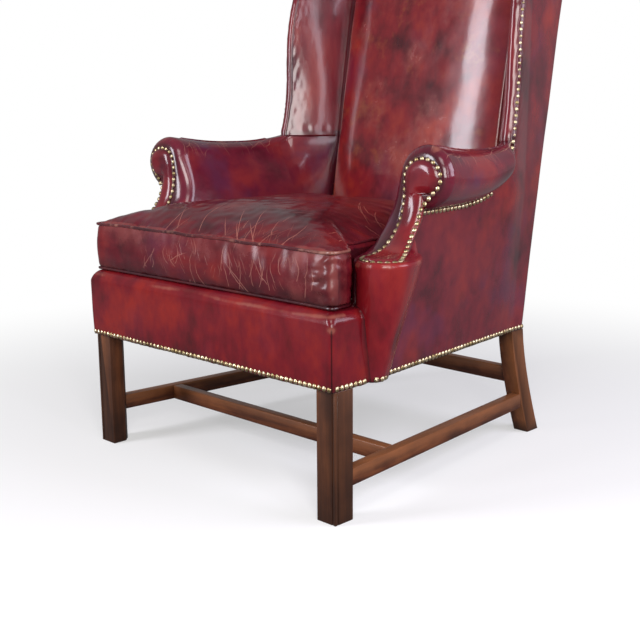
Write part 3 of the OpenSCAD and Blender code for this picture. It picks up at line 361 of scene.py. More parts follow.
def walled(piece, outward, thickness):
    """Turns the sheet's face to a side and gives it its thickness, in millimetres, behind that face."""
    total = sum((face.normal * face.area for face in piece.data.polygons), Vector())
    if total.dot(Vector(outward)) < 0:
        piece.data.flip_normals()
    settle(piece, "SOLIDIFY", thickness=thickness / 1000, offset=-1)
    return piece


def woven(name, light, dark, pitch, roughness=0.85):
    """Plain weave: threads over and under at an even pitch, with slubs."""
    cloth = Finish(name, Sheen_Weight=0.2)
    across, along, up = (maths("SINE", part * (2 * math.pi / pitch)) for part in cloth.parts(cloth.place))
    weave = across * along * 0.5 + up * 0.25 + 0.5
    slubs = cloth.clouds(0.01, 4.0, (1, 0.1, 0.1))
    colour = cloth.mix(tone(dark), tone(light), weave * 0.5 + slubs * 0.5)
    cloth.finish(colour, roughness, weave, 0.0005)
    return cloth.material


def joined(name, parts):
    """Several pieces made one."""
    bpy.ops.object.select_all(action="DESELECT")
    for part in parts:
        part.select_set(True)
    bpy.context.view_layer.objects.active = parts[0]
    bpy.ops.object.join()
    parts[0].name = parts[0].data.name = name
    return parts[0]


def side_x(y):
    """Half width of the seat frame at each depth."""
    return 355 - 0.10247 * np.clip(y - 45, 0, 566)


jute = woven("jute_webbing", "b59a6a", "6e5634", 0.0024)
strap, pitch = 50, 75  # width of a strap, and from one to the next
straps = []
for k in range(-2, 3):
    line = surface("strap", 12, 60, lambda u, v: (
        k * pitch - strap / 2 + strap * u, lerp(2, 637, v), 240.8 + 0.3 * np.sin(v * 25 + k)))
    straps.append(walled(line, (0, 0, 1), 0.9))
for k in range(7):
    first = 45 + (k + 0.1) * pitch
    reach = side_x(first + strap) - 8
    line = surface("strap", 60, 12, lambda u, v: (
        lerp(-reach, reach, u), first + strap * v, 242.0 - 0.3 * np.sin(u * 30 + k)))
    straps.append(walled(line, (0, 0, 1), 0.9))
webbing = joined("seat_webbing_straps", straps)
dress(webbing, jute)
carry(webbing, "chair", "seat_webbing")


def share(value):
    return np.clip(value, 0, 1)


def smooth(value):
    t = share(value)
    return t * t * (3 - 2 * t)


def bulge(value):
    return np.sqrt(np.maximum(0, 1 - value * value))


def full_round(t, power=2.5):
    return (1 - share(t) ** power) ** (1 / power)


crest_front, crest_back = 708.2, 791
crest_middle = (crest_front + crest_back) / 2


def back_y(z):
    """Rear face of the chair at each height: raked and a little bowed, then rounded over the crest."""
    t = (np.minimum(z, 1070) - underside) / 828
    raked = 652 + 139 * (t + 0.2 * (t * t - t))
    return np.where(z > 1070, lerp(crest_middle, crest_back, bulge((z - 1070) / 28)), raked)


straps = []
for k in range(4):
    low = 443 + (k + 0.5) * 100
    line = surface("strap", 90, 12, lambda u, v: (
        lerp(-291, 291, u), back_y(low + 50 * v) - 46.2 + 0.2 * np.sin(26 * u + k), low + 50 * v))
    straps.append(walled(line, (0, -1, 0), 0.9))
back_straps = joined("back_webbing_straps", straps)
dress(back_straps, jute)
carry(back_straps, "chair", "back_webbing")


def seat_half(y):
    """Half width of the deck between the arms."""
    return side_x(np.maximum(y, 99)) - 58.5


def ripple(x, y, z, size, seed):
    """Smooth unevenness, mostly from -1 to 1, with waves of about a size in millimetres."""
    chance = np.random.default_rng(seed)
    total = 0.0
    for _ in range(8):
        way = chance.normal(size=3)
        way *= 2 * math.pi / size / np.linalg.norm(way) * chance.uniform(0.6, 1.7)
        total = total + np.sin(way[0] * x + way[1] * y + way[2] * z + chance.uniform(0, 6.3))
    return total / 3.2


def push(piece, rule):
    """Moves each point along its normal, by a rule on its place, in millimetres."""
    x, y, z = sizes(piece)
    place = np.stack([x, y - leg_front, z], axis=1) + rows_of(piece, "normal") * rule(x, y, z)[:, None]
    moved_to(piece, place / 1000)


burlap = surface("burlap_over_springs", 80, 80, lambda u, v: (
    lerp(-1, 1, u) * seat_half(lerp(48, 624, v)), lerp(48, 624, v),
    360.8 + 0.15 * np.sin(u * 31) * np.sin(v * 31)))
walled(burlap, (0, 0, 1), 0.7)
dress(burlap, woven("burlap", "a58a5c", "5f4a2c", 0.0030))
carry(burlap, "chair", "seat_burlap")

deck = surface("seat_deck", 150, 150, lambda u, v: (
    lerp(-1, 1, u) * seat_half(lerp(48.5, 624, v)), lerp(48.5, 624, v),
    379.0 + 2.0 * bulge(2 * u - 1) ** 0.5 * bulge(2 * v - 1) ** 0.5
    - 0.8 * np.exp(-((u * 8) % 1 - 0.5) ** 2 / 0.002) - 0.8 * np.exp(-((v * 8) % 1 - 0.5) ** 2 / 0.002)))
walled(deck, (0, 0, 1), 17.5)
dress(deck, woven("deck_cotton", "6b4a3c", "40281f", 0.0016, 0.9))
carry(deck, "chair", "seat_platform")

# DUST COVER
# A sheet of black cambric, tacked under the seat frame between the legs to hold the dust of the stuffing.
# It hangs slack by a hair between its tacks.
dust = surface("dust_cover_cambric", 110, 110, lambda u, v: (
    lerp(-1, 1, u) * np.where(v < 0.067, 310, np.where(v < 0.961, side_x(lerp(3, 636, v)) - 6, 261)),
    lerp(3, 636, v), 239.9 - 0.5 * np.abs(np.sin(v * 33) * np.sin(u * 33))))
walled(dust, (0, 0, 1), 0.6)
dress(dust, woven("black_cambric", "2b2a2a", "141313", 0.0012, 0.95))
carry(dust, "chair", "dust_cover")

# FRONT APRON
# One cover of oxblood hide over the front rail, rounded over stuffing at its top and at its corners. Each
# corner has an upright seam, and the hide is drawn tight down to the row of nails.
def leather(name, low, middle, high, ember, plum_and_sheen, streaks, seed, scuff_and_highlight="96594a", gloss=0.1, shine=1.0):
    """Aniline hide, waxed and polished: cloudy maroon, with shares of warmer ember and of darker plum; the
    plum is partly the hide's tone and partly a painted lilac sheen of the polish.
    """
    hide = Finish(name, Specular_IOR_Level=0.4 * shine, Coat_Weight=0.42 * shine, Coat_Roughness=gloss)
    zones = hide.clouds(0.17, 3.0, shift=(seed, 0, 0))
    patches = hide.clouds(0.06, 4.0, streaks, shift=(seed, 3, 0))
    mottle = hide.clouds(0.02, 3.0, streaks, shift=(seed, 6, 0), roughness=0.5)
    mixed = zones * 0.44 + patches * 0.4 + mottle * 0.16
    base = hide.add("ValToRGB", {"stops": [
        (0.36, tone(low)), (0.50, tone(middle)), (0.62, tone(high))]}, {"Fac": mixed}, "Color")
    glow = step(hide.clouds(0.11, 3.0, streaks, shift=(seed, 9, 4)), 0.54, 0.72)
    # Plum patches: partly the hide's own tone, partly a painted lilac sheen.
    plum_and_sheen_patches = step(hide.clouds(0.14, 3.0, shift=(seed, 14, 2)), 0.52, 0.70)
    warm = hide.mix(base, tone("a8331c"), glow * ember * (0.3 + 0.6 * mottle))
    plum_and_sheen_tinted = hide.mix(warm, tone("56233f"), plum_and_sheen_patches * plum_and_sheen)
    # Pale scuffs: real wear, and on some pieces a painted highlight.
    wear = step(hide.mark("wear") * 0.75 + hide.clouds(0.02, 4.0, shift=(seed, 2, 7)) * 0.5, 0.38, 1.05)
    worn_and_lit = hide.mix(plum_and_sheen_tinted, tone(scuff_and_highlight), wear * 0.7)
    # Painted shade, with some dirt: darker in seams, recesses, along nails and under or behind other parts.
    hide.colour = hide.mix(worn_and_lit, tone("1a0509"), hide.mark("grime") * 0.85)
    hide.grain = hide.clouds(0.0024, 1.0) * 0.12 + hide.clouds(0.014, 2.0) * 0.88
    hide.roughness = 0.15 + 0.14 * mottle + 0.16 * wear
    return hide


def band(value, middle, width):
    """1 where a value is at its middle, falling off to both sides of it."""
    return np.exp(-((value - middle) / width) ** 2)


def beyond(gap, reach):
    """1 up to an edge, falling off beyond it."""
    return np.exp(-np.maximum(gap, 0) / reach)


def above_rail(z, reach):
    """1 at the nails of the seat rails, falling off above them."""
    return np.exp(-(z - underside) / reach)


def grid(*axes):
    """Rows of points from arrays of x, y and z."""
    return np.stack(np.broadcast_arrays(*axes), axis=2)


def polished(hide):
    """The finish closed with its own colour, gloss and grain."""
    return hide.finish(hide.colour, hide.roughness, hide.grain, 0.0003)


def soft(piece, seed, amount):
    """The slight unevenness of hide over stuffing."""
    push(piece, lambda x, y, z: amount * (
        0.7 * ripple(x, y, z, 210, seed) + 0.12 * ripple(x, y, z, 60, seed + 1)))


def stretched(name, points, outward, seed, amount, thickness=2.4):
    """A hide laid over its stuffing, given its thickness."""
    piece = laid(name, points)
    walled(piece, outward, thickness)
    soft(piece, seed, amount)
    return piece


lip_x, lip_y = 370.6, 111  # middle of the half round lip in front of the right arm
cone_high, apron_top = 215, 357


def cone_axis(h):
    """Centre and radius of the cone at a share of its height."""
    return lerp(339.5, lip_x, h), lerp(25, 53, h)


def apron_half(h):
    """Half width of the apron at a share of its height."""
    return lerp(355, 358.5, h)


def apron_points():
    """Rows up the apron's face, round its top edge and back under the cushion."""
    w = np.linspace(-1, 1, 481)[None, :]
    s = np.concatenate([
        np.linspace(0, 1, 54), 1 + np.linspace(0.05, 1, 20), 2 + np.linspace(0.1, 1, 8)])[:, None]
    turn = np.radians(90) * share(s - 1)
    flat = share(s - 2)
    half = apron_half(share(s)) - 24 * (1 - np.cos(turn)) - flat * 42
    front = -8 - 3.5 * share(s) - 1.8 * np.sin(np.pi * share(s)) ** 0.8 + 24 * (1 - np.cos(turn)) + flat * 32
    z = lerp(underside, apron_top, share(s)) + 24 * np.sin(turn)
    corner = np.maximum(0.6, lerp(5, 9, share(s)) + 13 * np.sin(turn) * np.cos(turn) - 9 * (1 - np.cos(turn)))
    a = np.radians(90) * share((abs(w) - 0.7) / 0.1)
    x = np.where(abs(w) < 0.7, (half - corner) * abs(w) / 0.7, half - corner + corner * np.sin(a))
    y = np.where(abs(w) < 0.8, front + corner * (1 - np.cos(a)),
                 lerp(front + corner, 101, (abs(w) - 0.8) / 0.2))
    return grid(np.sign(w) * x, y, z)


def corner_seam(x, y, z):
    """How near a point is to the upright seams at the apron's front corners, from 0 to 1."""
    height = share((z - underside) / (apron_top - underside))
    across = (apron_half(height) - abs(x)) - (y + 8 + 3.5 * height)
    return band(across, 0, 1.7) * smooth((356 - z) / 8) * (y < 30) * (abs(x) > 320)


def behind_cone(x, y, z):
    """1 where the apron runs in behind the cone under an arm."""
    middle, radius = cone_axis((z - underside) / cone_high)
    return beyond(np.hypot(abs(x) - middle, y - lip_y) - radius, 5)


apron = stretched("apron_hide", apron_points(), (0, -1, 0), 11, 0.8)
push(apron, lambda x, y, z: -1.5 * corner_seam(x, y, z) - 3.5 * behind_cone(x, y, z)
     + 0.5 * ripple(x, y, 0 * z, 17, 5) * above_rail(z, 13))
# Wear along the rounded shoulder, and a painted highlight at the top of each front corner.
mark(apron, "wear", lambda x, y, z: 0.85 * band(z - 370, 3 * ripple(x, y, z, 160, 4), 4.0)
     * (0.55 + 0.4 * ripple(x, 0, 0, 120, 8)) * (y < 30)
     + 0.9 * band(z, 352, 7) * band(355 - abs(x) - y, 8, 12))
# Painted shade along the nails, where the apron runs in behind the cones and back under the cushion; the
# corner seams darker too.
mark(apron, "grime", lambda x, y, z: 0.75 * above_rail(z, 7) + corner_seam(x, y, z)
     + 0.9 * behind_cone(x, y, z) + 0.6 * smooth((y - 12) / 25) * (z > 378))
apron_leather = leather("apron_leather", "40070f", "6a0f1a", "841c16", 0.6, 0.14, (1, 1, 0.6), 2, shine=0.6)
dress(apron, polished(apron_leather))
carry(apron, "chair", "front_apron")

# ARM CONES
# Under the lip of each arm the hide is stretched over a tapering half cone, fat and rounded at its rim.
# It is sewn behind to the outside panel with a piped seam that runs down and forward to the seat rail.
def panel_x(y, z):
    """Outer face of the sides: upright at the seat rails, leaning out towards the arms and wings."""
    run = (back_y(z) - y) / (back_y(z) - 547)
    eased = np.where(run < 0.85, run,
                     run - (np.clip(run, 0.85, 1.15) - 0.85) ** 2 / 0.6 - np.maximum(run - 1.15, 0))
    return side_x(y) + 34 * share((z - underside) / 296) * share(eased)


lip_height, sweep_top = 461, 567
sweep_start, sweep_radius, body_radius = 99, 106, 110.5
arm_face, body_face = sweep_start + sweep_radius, sweep_start + body_radius


def sweep_y(z, radius=sweep_radius):
    """Front of the arm's face at each height: upright at the scroll, curving out to the flat lip."""
    return sweep_start + np.sqrt(np.maximum(0, radius**2 - np.clip(sweep_top - z, 0, radius) ** 2))


def angles(first, last, count):
    """Even steps from one angle to another, given in degrees."""
    return np.radians(np.linspace(first, last, count))


def tail_y(h):
    """Depth of the seam between the cone and the outside panel at a share of the cone's height."""
    return lerp(149, 217, h)


def cone_points():
    """Rings up the cone, round its rim and in over its top: height as a share, pull inwards, and cap."""
    rows = []
    rings = [(h, 0.0, 0.0) for h in np.linspace(0, 0.963, 60)]
    rings += [(0.963 + 0.056 * math.sin(a), 11 * (1 - math.cos(a)), 0.0)
              for a in np.linspace(0.12, 1.571, 12)]
    rings += [(1.019, 11.0, c) for c in (0.15, 0.35, 0.6, 0.85)]
    for h, pull, cap in rings:
        z = underside + cone_high * h
        x0, radius = cone_axis(min(h, 1))
        radius -= pull
        a = angles(180, 372, 66)
        ring = np.stack([x0 + radius * np.cos(a), lip_y + radius * np.sin(a)], axis=1)
        end_y = tail_y(min(h, 1)) - pull
        end = np.array([panel_x(end_y, z) + 0.4, end_y])
        ahead = np.array([-math.sin(a[-1]), math.cos(a[-1])])
        bend = ring[-1] + 0.52 * np.linalg.norm(end - ring[-1]) * ahead
        t = np.linspace(0, 1, 44)[1:, None]
        tail = (1 - t) ** 2 * ring[-1] + 2 * t * (1 - t) * bend + t * t * end
        line = np.concatenate([ring, tail])
        behind = np.stack([panel_x(tail[:, 1], z) - 5, tail[:, 1]], axis=1)
        inner = np.concatenate([np.tile([x0 - 6, lip_y + 10], (66, 1)), behind])
        run = np.clip(line[:, 1], sweep_start, arm_face - 0.1) - sweep_start
        swept = np.sqrt(np.maximum(0, sweep_radius**2 - run**2))
        rise = np.where(line[:, 1] > lip_y, np.maximum(0, sweep_top - swept - lip_height), 0)
        spot = lerp(line, inner, cap)
        rows.append(np.column_stack([spot, z + np.minimum(rise, 60) * cap**1.3]))
    return np.array(rows)


def tail_seam(y, z, inset=1.5, width=2.2):
    """How near a point is to the edge where the cone meets the outside panel, from 0 to 1."""
    return band(tail_y(share((z - underside) / cone_high)) - y, inset, width)


def mirrored(piece, name):
    """The same piece on the other side of the chair, with its own mesh."""
    other = placed(name, piece.data.copy())
    other.data.name = name
    other.data.transform(Matrix.Diagonal((-1, 1, 1, 1)))
    other.data.flip_normals()
    return other


def pair(piece, node, finish):
    """Sets up the right-hand piece and its mirror image in place of their two nodes."""
    other = mirrored(piece, piece.name.replace("right", "left"))
    for half, side in ((piece, "right"), (other, "left")):
        dress(half, finish)
        carry(half, "chair", f"{node}_{side}")


cone = stretched("cone_hide_right", cone_points(), (1, -1, 0), 21, 0.8, 2.6)
push(cone, lambda x, y, z: 0.9 * tail_seam(y, z) * (x > 340) * (0.7 + 0.5 * ripple(x, y, z, 14, 3))
     + 0.8 * ripple(x, 0.4 * y, 0 * z, 15, 6) * band(z, 449, 9) * (y < 90)
     + 0.5 * ripple(x, y, 0 * z, 16, 5) * above_rail(z, 12))
# Wear along the back seam, and a painted highlight round the rim.
mark(cone, "wear", lambda x, y, z: 0.85 * tail_seam(y, z) * (x > 340) * share(0.5 + ripple(0, y, z, 22, 9))
     + 0.75 * band(z, 454, 6) * share(0.55 + 0.6 * ripple(x, y, 0, 40, 2)))
# Painted shade along the nails and on the inner side towards the apron; the back seam darker too.
mark(cone, "grime", lambda x, y, z: 0.75 * above_rail(z, 7) + 0.8 * smooth((340 - x) / 30) * (z < 450)
     + 0.5 * tail_seam(y, z, 0.2, 0.8))
cone_leather = leather("cone_leather", "480913", "78131d", "8c2220", 0.4, 0.12, (1, 1, 0.5), 7, shine=0.7)
pair(cone, "arm_cone", polished(cone_leather))

# OUTSIDE PANELS
# One hide covers the outside of each arm and wing. It runs in under the roll of the arm, up the front of
# the wing and over its top, and is turned in at the back, so its rear edge is soft and round.
def close_to(gap, reach):
    """1 where there is no gap, falling off to both sides."""
    return np.exp(-abs(gap) / reach)


def body_front(z):
    """Front of the stuffed arm behind its face."""
    return sweep_y(z, body_radius)


dip, junction_bend, wing_front = 430, 296, 541  # depths of the arm's low point, the bend and the wing
roll_foot, wing_foot = 538, 656


def junction_y(z):
    """Front edge of the outside panel between the underside of the roll and the wing."""
    return lerp(junction_bend, wing_front, full_round((wing_foot - z) / 118))


def wing_edge(z):
    """Front edge of the wing: nearly upright, then rounding back to the crest."""
    low = wing_front + 18.2 * (1 - (1 - share((z - wing_foot) / 132.6)) ** 2)
    return np.where(z < 788.6, low, lerp(crest_middle, 559.2, full_round((z - 788.6) / 309.4)))


def panel_front(z):
    """Front edge of the whole panel at each height."""
    return np.where(z <= roll_foot, body_front(z) - 3, np.where(z <= wing_foot, junction_y(z), wing_edge(z)))


levels = np.unique(np.concatenate([
    np.linspace(underside, 456, 50), sweep_top - body_radius * np.cos(angles(0, 75, 26)),
    np.linspace(roll_foot, wing_foot, 60), np.linspace(wing_foot, 1000, 70),
    lerp(1000, 1097.6, np.linspace(0, 1, 40) ** 0.6)]))


def panel_points():
    """Rows along the panel at each height, turned in at both ends."""
    z = levels[:, None]
    v = np.linspace(0, 1, 141)[None, :]
    front, back = panel_front(z), back_y(z)
    middle = np.where(z <= roll_foot, 300.0, front + np.minimum(4, 0.3 * (back - front)))
    rest = (v - 0.35) / 0.65
    y = np.where(v < 0.35, lerp(front, middle, v / 0.35), lerp(middle, back, lerp(rest, smooth(rest), 0.5)))
    edge = np.minimum(9.0, (back - front) / 2)
    turn = np.clip(1 - (back - y) / np.maximum(edge, 1e-6), 0, 1)
    lip = np.clip(1 - (y - front) / 4, 0, 1)
    x = panel_x(y, z) - edge * (1 - bulge(turn)) - 3.0 * (1 - bulge(lip))
    return grid(x, y, z)


panel = stretched("outside_hide_right", panel_points(), (1, 0, 0), 31, 0.7)
push(panel, lambda x, y, z: 0.6 * ripple(x, y, 0 * z, 22, 5) * above_rail(z, 15)
     + 0.5 * ripple(0 * x, y, z, 26, 6) * close_to(y - panel_front(z), 14) * (z > roll_foot))
mark(panel, "wear", lambda x, y, z: 0.7 * band(back_y(z), y, 7) * share(0.5 + ripple(0, y, z, 120, 4))
     + 0.35 * band(z, 900, 160) * share(ripple(x, y, z, 90, 7)))
# Painted shade along the nails, along the front edge under the roll and the wing, and where the panel runs in
# under the arm's front.
mark(panel, "grime", lambda x, y, z: 0.75 * above_rail(z, 7)
     + 0.6 * (z > 535) * close_to(y - panel_front(z), 8)
     + 0.7 * (z < 540) * beyond(y - panel_front(z), 4))
outside_leather = leather("outside_leather", "3c0f1a", "661a26", "7c2427", 0.4, 0.5, (1, 0.8, 0.7), 12,
                          shine=0.8)
pair(panel, "outside_panel", polished(outside_leather))

# INSIDE ARMS
# Each arm is stuffed thick: its inside rises from the seat, rolls over the rail and ends under the roll
# outside. In front the hide is rounded over to the nails, and gathered small round the scroll.
def arm_top(y):
    """Height of the roll, which dips in the middle and rises to the scroll and to the wing."""
    ahead = lerp(636, 652, ((dip - y) / (dip - arm_face)) ** 2)
    behind = 636 + 14 * ((y - dip) / (wing_front - dip)) ** 2
    return np.where(y < dip, ahead, np.minimum(wing_foot, behind))


def junction_z(y):
    """Height at which the inside arm's hide ends on the outside, along the roll and up to the wing."""
    bend = full_round((y - junction_bend) / (wing_front - junction_bend))
    return np.where(y <= junction_bend, roll_foot, lerp(wing_foot, roll_foot, bend))


def roll_radius(y):
    """Radius of the roll, which thins to its end at the wing."""
    return np.maximum(6, (arm_top(y) - np.minimum(junction_z(y), arm_top(y) - 12)) / 2)


def roll_share(y):
    """How far the roll stands out: 1 in front, 0 at the wing."""
    return 1 - smooth((y - lerp(dip, wing_front, 0.5)) / ((wing_front - dip) * 0.5))


def back_edge_y(z):
    """Depth of the inside back along its edges."""
    return back_y(z) - 78


def wing_in(y, z):
    """Inner face of the wing between its border and the back."""
    seam_x, seam_y = panel_x(wing_edge(z), z) - 26, wing_edge(z) - 9
    return lerp(seam_x, 238, share((y - seam_y) / (back_edge_y(z) - seam_y)))


def upper_in(y):
    """Where the arm's inside ends and its roll begins."""
    return np.minimum(panel_x(y, wing_foot) - roll_radius(y), wing_in(y, wing_foot))


def station(depth, z):
    """Depth of a point of the arm: a share of the way from its front, which sweeps, to the inside back."""
    y = lerp(body_face, back_edge_y(z), depth)
    return y + (body_front(z) - body_face) * (1 - smooth((y - body_face) / 58))


climb = np.linspace(0, 1, 44) ** 0.9
lean = math.radians(25)
over = np.linspace(lean, math.radians(90), 24)[1:]
down = np.radians(np.concatenate([np.linspace(90, -90, 46), [-90]]))


def arm_row(depth):
    """Section of the arm: x, y and z from the seat up its inside, over the roll and down outside."""
    y0 = station(depth, wing_foot)
    r = roll_radius(y0)
    middle = arm_top(y0) - r
    outward = roll_share(y0)
    skin = panel_x(y0, wing_foot) - 3 - 2 * (1 - outward)
    z1 = lerp(332, middle + r * math.sin(lean), climb)
    y1 = station(depth, z1)
    low = side_x(y1) - 58
    x1 = lerp(low, upper_in(y1) + outward * r * (1 - math.cos(lean)),
              share((z1 - 475) / (z1[-1] - 475)) ** 1.4)
    z2 = middle + r * np.sin(over)
    y2 = station(depth, z2)
    x2 = upper_in(y2) + outward * r * (1 - np.cos(over))
    x4 = skin + outward * (r + 3) * np.cos(down)
    z4 = middle + r * np.sin(down)
    x4[-1] -= 8
    y4 = station(depth, z4)
    x3 = lerp(x2[-1], x4[0], np.array([0.25, 0.5, 0.75]))
    return np.stack([np.concatenate([x1, x2, x3, x4]), np.concatenate([y1, y2, y2[-1] + 0 * x3, y4]),
                     np.concatenate([z1, z2, z2[-1] + 0 * x3, z4])], axis=1)


scroll_x, scroll_z, scroll_wide, scroll_high = 373.5, 595, 39.9, 32.5
neck_left, neck_right = 333.6, 372.6


def scroll_point(angle):
    """The scroll's outline, the row of nails on the arm's face."""
    return scroll_x + scroll_wide * np.cos(angle), scroll_z + scroll_high * np.sin(angle)


def past_scroll(x, z):
    """0 at the middle of the scroll and 1 on its outline."""
    return np.hypot((x - scroll_x) / scroll_wide, (z - scroll_z) / scroll_high)


def arm_points():
    """Rows from the nails of the facing round the arm's front edge, and then back to the inside back."""
    first = arm_row(0.0)
    z1 = first[: len(climb), 2]
    z1 = np.where(z1 > scroll_z, scroll_z + (z1 - scroll_z) * 0.57, z1)
    left = np.where(z1 > sweep_top, scroll_x - scroll_wide * bulge(share((z1 - scroll_z) / scroll_high)),
                    lerp(328.6, neck_left, share((z1 - lip_height) / 14)))
    x2, z2 = scroll_point(math.pi - over)
    x4, z4 = scroll_point(np.maximum(down, math.radians(-56)))
    fade = share((-down - math.radians(56)) / math.radians(34))
    x4 = lerp(x4, 373.0, fade)
    nails = np.stack([np.concatenate([left, x2, np.full(3, scroll_x), x4]),
                      np.concatenate([z1, z2, np.full(3, 627.5), z4])], axis=1)
    round_off = np.concatenate([np.full(len(climb), 26.0), np.linspace(26, 17, len(over)), np.full(3, 17.0),
                                np.linspace(17, 12, len(down))])
    low_fade = share((z1 - 440) / 20)
    start = nails.copy()
    start[: len(climb), 0] = lerp(first[: len(climb), 0] + 20, nails[: len(climb), 0], low_fade)
    front = np.where(start[:, 1] >= sweep_top, arm_face, sweep_y(start[:, 1]))
    rows = []
    for a in angles(-10, 90, 17):
        turn = max(a, 0)
        lateral = math.sin(turn) ** 0.9 if turn else 0.0
        y = lerp(front, first[:, 1], lateral**2) + round_off * (1 - math.cos(turn)) + 4.0 * (a < 0)
        rows.append(np.column_stack([
            lerp(start[:, 0], first[:, 0], lateral), y, lerp(start[:, 1], first[:, 2], lateral)]))
    for depth in np.concatenate([np.linspace(0.012, 0.3, 40), np.linspace(0.31, 1.03, 84)]):
        row = arm_row(depth)
        row[:, 1] += round_off * (1 - smooth(depth * 3.2))
        rows.append(row)
    return np.array(rows)


arm = stretched("inside_arm_hide_right", arm_points(), (-1, 0, 0), 41, 0.8)


def round_scroll(x, y, z):
    """How near a point is to the rounded front of the arm, and its angle round the scroll."""
    near = share((232 - y) / 14) * share((y - 205.5) / 6) * (z > 545)
    return near, np.arctan2(z - scroll_z, x - 373)


def gathers(x, y, z):
    """Small pleats where the hide is drawn in round the scroll."""
    near, angle = round_scroll(x, y, z)
    deep = 0.5 + 0.5 * np.sin(3.1 * angle + 1)
    return near * (0.55 * np.sin(52 * angle + 3 * np.sin(5 * angle)) * deep * (angle > -0.6))


push(arm, lambda x, y, z: gathers(x, y, z)
     + 0.9 * ripple(x, 0.5 * y, z, 30, 8) * band(z, 470, 22) * band(y, body_front(z), 40)
     + 0.8 * ripple(0.6 * x, y, 0 * z, 30, 9) * band(z, 652, 8) * (y > 545)
     - 1.2 * band(z, 648, 1.6) * (y > 548) * (x < 330))
mark(arm, "wear", lambda x, y, z:
     0.6 * share(ripple(x, y, z, 60, 3)) * band(z, arm_top(y), 12) * (y < 520)
     + 0.35 * round_scroll(x, y, z)[0] * band(z, 645, 14) * share(0.4 + ripple(x, y, z, 16, 4)))
# Painted shade where the hide meets the facing, under the roll outside, low down beside the cushion and in
# towards the inside back.
mark(arm, "grime", lambda x, y, z:
     0.75 * beyond(y - sweep_y(np.minimum(z, sweep_top)) - 1, 3.0) * (y < 215)
     + 0.7 * (x > 372) * beyond(z - junction_z(y), 7) + 0.8 * share((470 - z) / 40) * (y > 160)
     + 0.8 * smooth((y - (back_edge_y(z) - 25)) / 25))
arm_leather = leather("arm_leather", "3a0a1a", "621428", "7c2328", 0.3, 0.85, (1, 0.6, 0.7), 20)


def scratched(hide, marks, code, strength):
    """Fine pale scratches over the finish, as colour and as a slight furrow."""
    hide.colour = hide.mix(hide.colour, tone(code), marks * strength)
    hide.grain = hide.grain - marks * 0.3


def strokes(hide, u, v, pitch, chosen, width, reach, seed):
    """Scratches that lie along v, one to a lane of u. All sizes are in metres."""
    lane = hide.add("CombineXYZ", {}, {"X": maths("FLOOR", u / pitch), "Y": seed})
    chance = hide.add("TexWhiteNoise", {"noise_dimensions": "2D"}, {"Vector": lane}, "Color")
    first, second, third = hide.parts(chance)
    across = maths("ABSOLUTE", maths("FRACT", u / pitch) - 0.3 - 0.4 * first)
    line = 1.0 - step(across, 0.35 * width / pitch, width / pitch)
    start = reach[0] + (reach[1] - reach[0]) * second
    length = reach[2] * (0.25 + third)
    place = (v - start) / length
    ends = step(place, 0.0, 0.12) * (1.0 - step(place, 0.55, 1.0))
    return line * ends * step(first, 1.0 - chosen, 1.0 - chosen + 0.01)


def together(marks):
    """The strongest of several marks at each point."""
    strongest, *others = marks
    for other in others:
        strongest = maths("MAXIMUM", strongest, other)
    return strongest


ax, ay, az = arm_leather.parts(arm_leather.place)
bend = arm_leather.clouds(0.05, 1.0) * 0.03
fine = together([
    strokes(arm_leather, ax + 0.35 * ay + bend, ay, 0.0035, 0.4, 0.0005, (-0.20, 0.12, 0.09), 3.0),
    strokes(arm_leather, ay - 0.2 * ax + bend, az, 0.004, 0.3, 0.0005, (0.55, 0.63, 0.05), 4.0)])
scratched(arm_leather, fine * step(az, 0.60, 0.635), "c08a76", 0.6)
pair(arm, "inside_arm", polished(arm_leather))

# ARM FACINGS
# Padded facings cover the fronts of the arms inside a close row of nails, plump in the scroll and flat in
# the neck, and sweep out over the lip. Beyond the outer nails the hide is turned over the edge.
lip_radius = 42


def facing_rows():
    """Rows from the lip to the top of the scroll: y, z, tilt, the two nail lines in x, and the padding.

    On the upright part facing_points works the padding out from the height."""
    for a in angles(89.5, 17.5, 16):
        w = lip_radius * math.cos(a)
        yield lip_y - lip_radius * math.sin(a), lip_height, 0.0, lip_x - w, lip_x + w, 5.0
    for a in np.linspace(0, 90, 40):
        t = math.radians(a)
        yield (sweep_start + sweep_radius * math.sin(t), sweep_top - sweep_radius * math.cos(t), t,
               lerp(328.6, neck_left, min(1, a / 30)), neck_right + 40 * max(0, 1 - a / 50) ** 1.4,
               lerp(5.0, 3.5, min(1, a / 40)) + 4.5 * smooth((a - 15) / 75))
    for a in np.linspace(-56, 89, 36):
        right, z = scroll_point(math.radians(a))
        yield arm_face, z, math.pi / 2, neck_left if a < 0 else 2 * scroll_x - right, right, None


def facing_points():
    """Rows across the facing, from a tuck on its left to an edge turned over on its right."""
    rows = []
    across = np.linspace(0, 1, 31)
    for y, z, tilt, left, right, plump in facing_rows():
        x = lerp(left, right, across)
        inside = np.minimum(x - left, right - x)
        if tilt == math.pi / 2:
            loop = (1 - past_scroll(x, z)) * 36
            inside = np.where((z < scroll_z) & (x < scroll_x), x - neck_left, loop)
            notch = np.hypot(np.clip(x, neck_right, 395.8) - x, z - 567.3)
            inside = np.minimum(inside, notch * (1 if z < scroll_z else 9))
            plump = lerp(8, 10.5, smooth((z - sweep_top) / 50))
        lift = plump * (1 - (1 - share(inside / 18)) ** 2) ** 0.75
        wrap = min(1.0, tilt / 0.6) * (z < 567.2)
        turn = np.radians([20, 45, 70, 90])
        rim_x = np.concatenate([right + 3.2 * wrap * np.sin(turn), [right + 2.6 * wrap]])
        rim_lift = np.concatenate([-3.6 * (1 - np.cos(turn)), [-8.0]])
        x = np.concatenate([[left + 0.5], x, rim_x])
        lift = np.concatenate([[-4.0], lift, rim_lift])
        rows.append(np.column_stack([x, y - lift * math.sin(tilt), z + lift * math.cos(tilt)]))
    return np.array(rows)


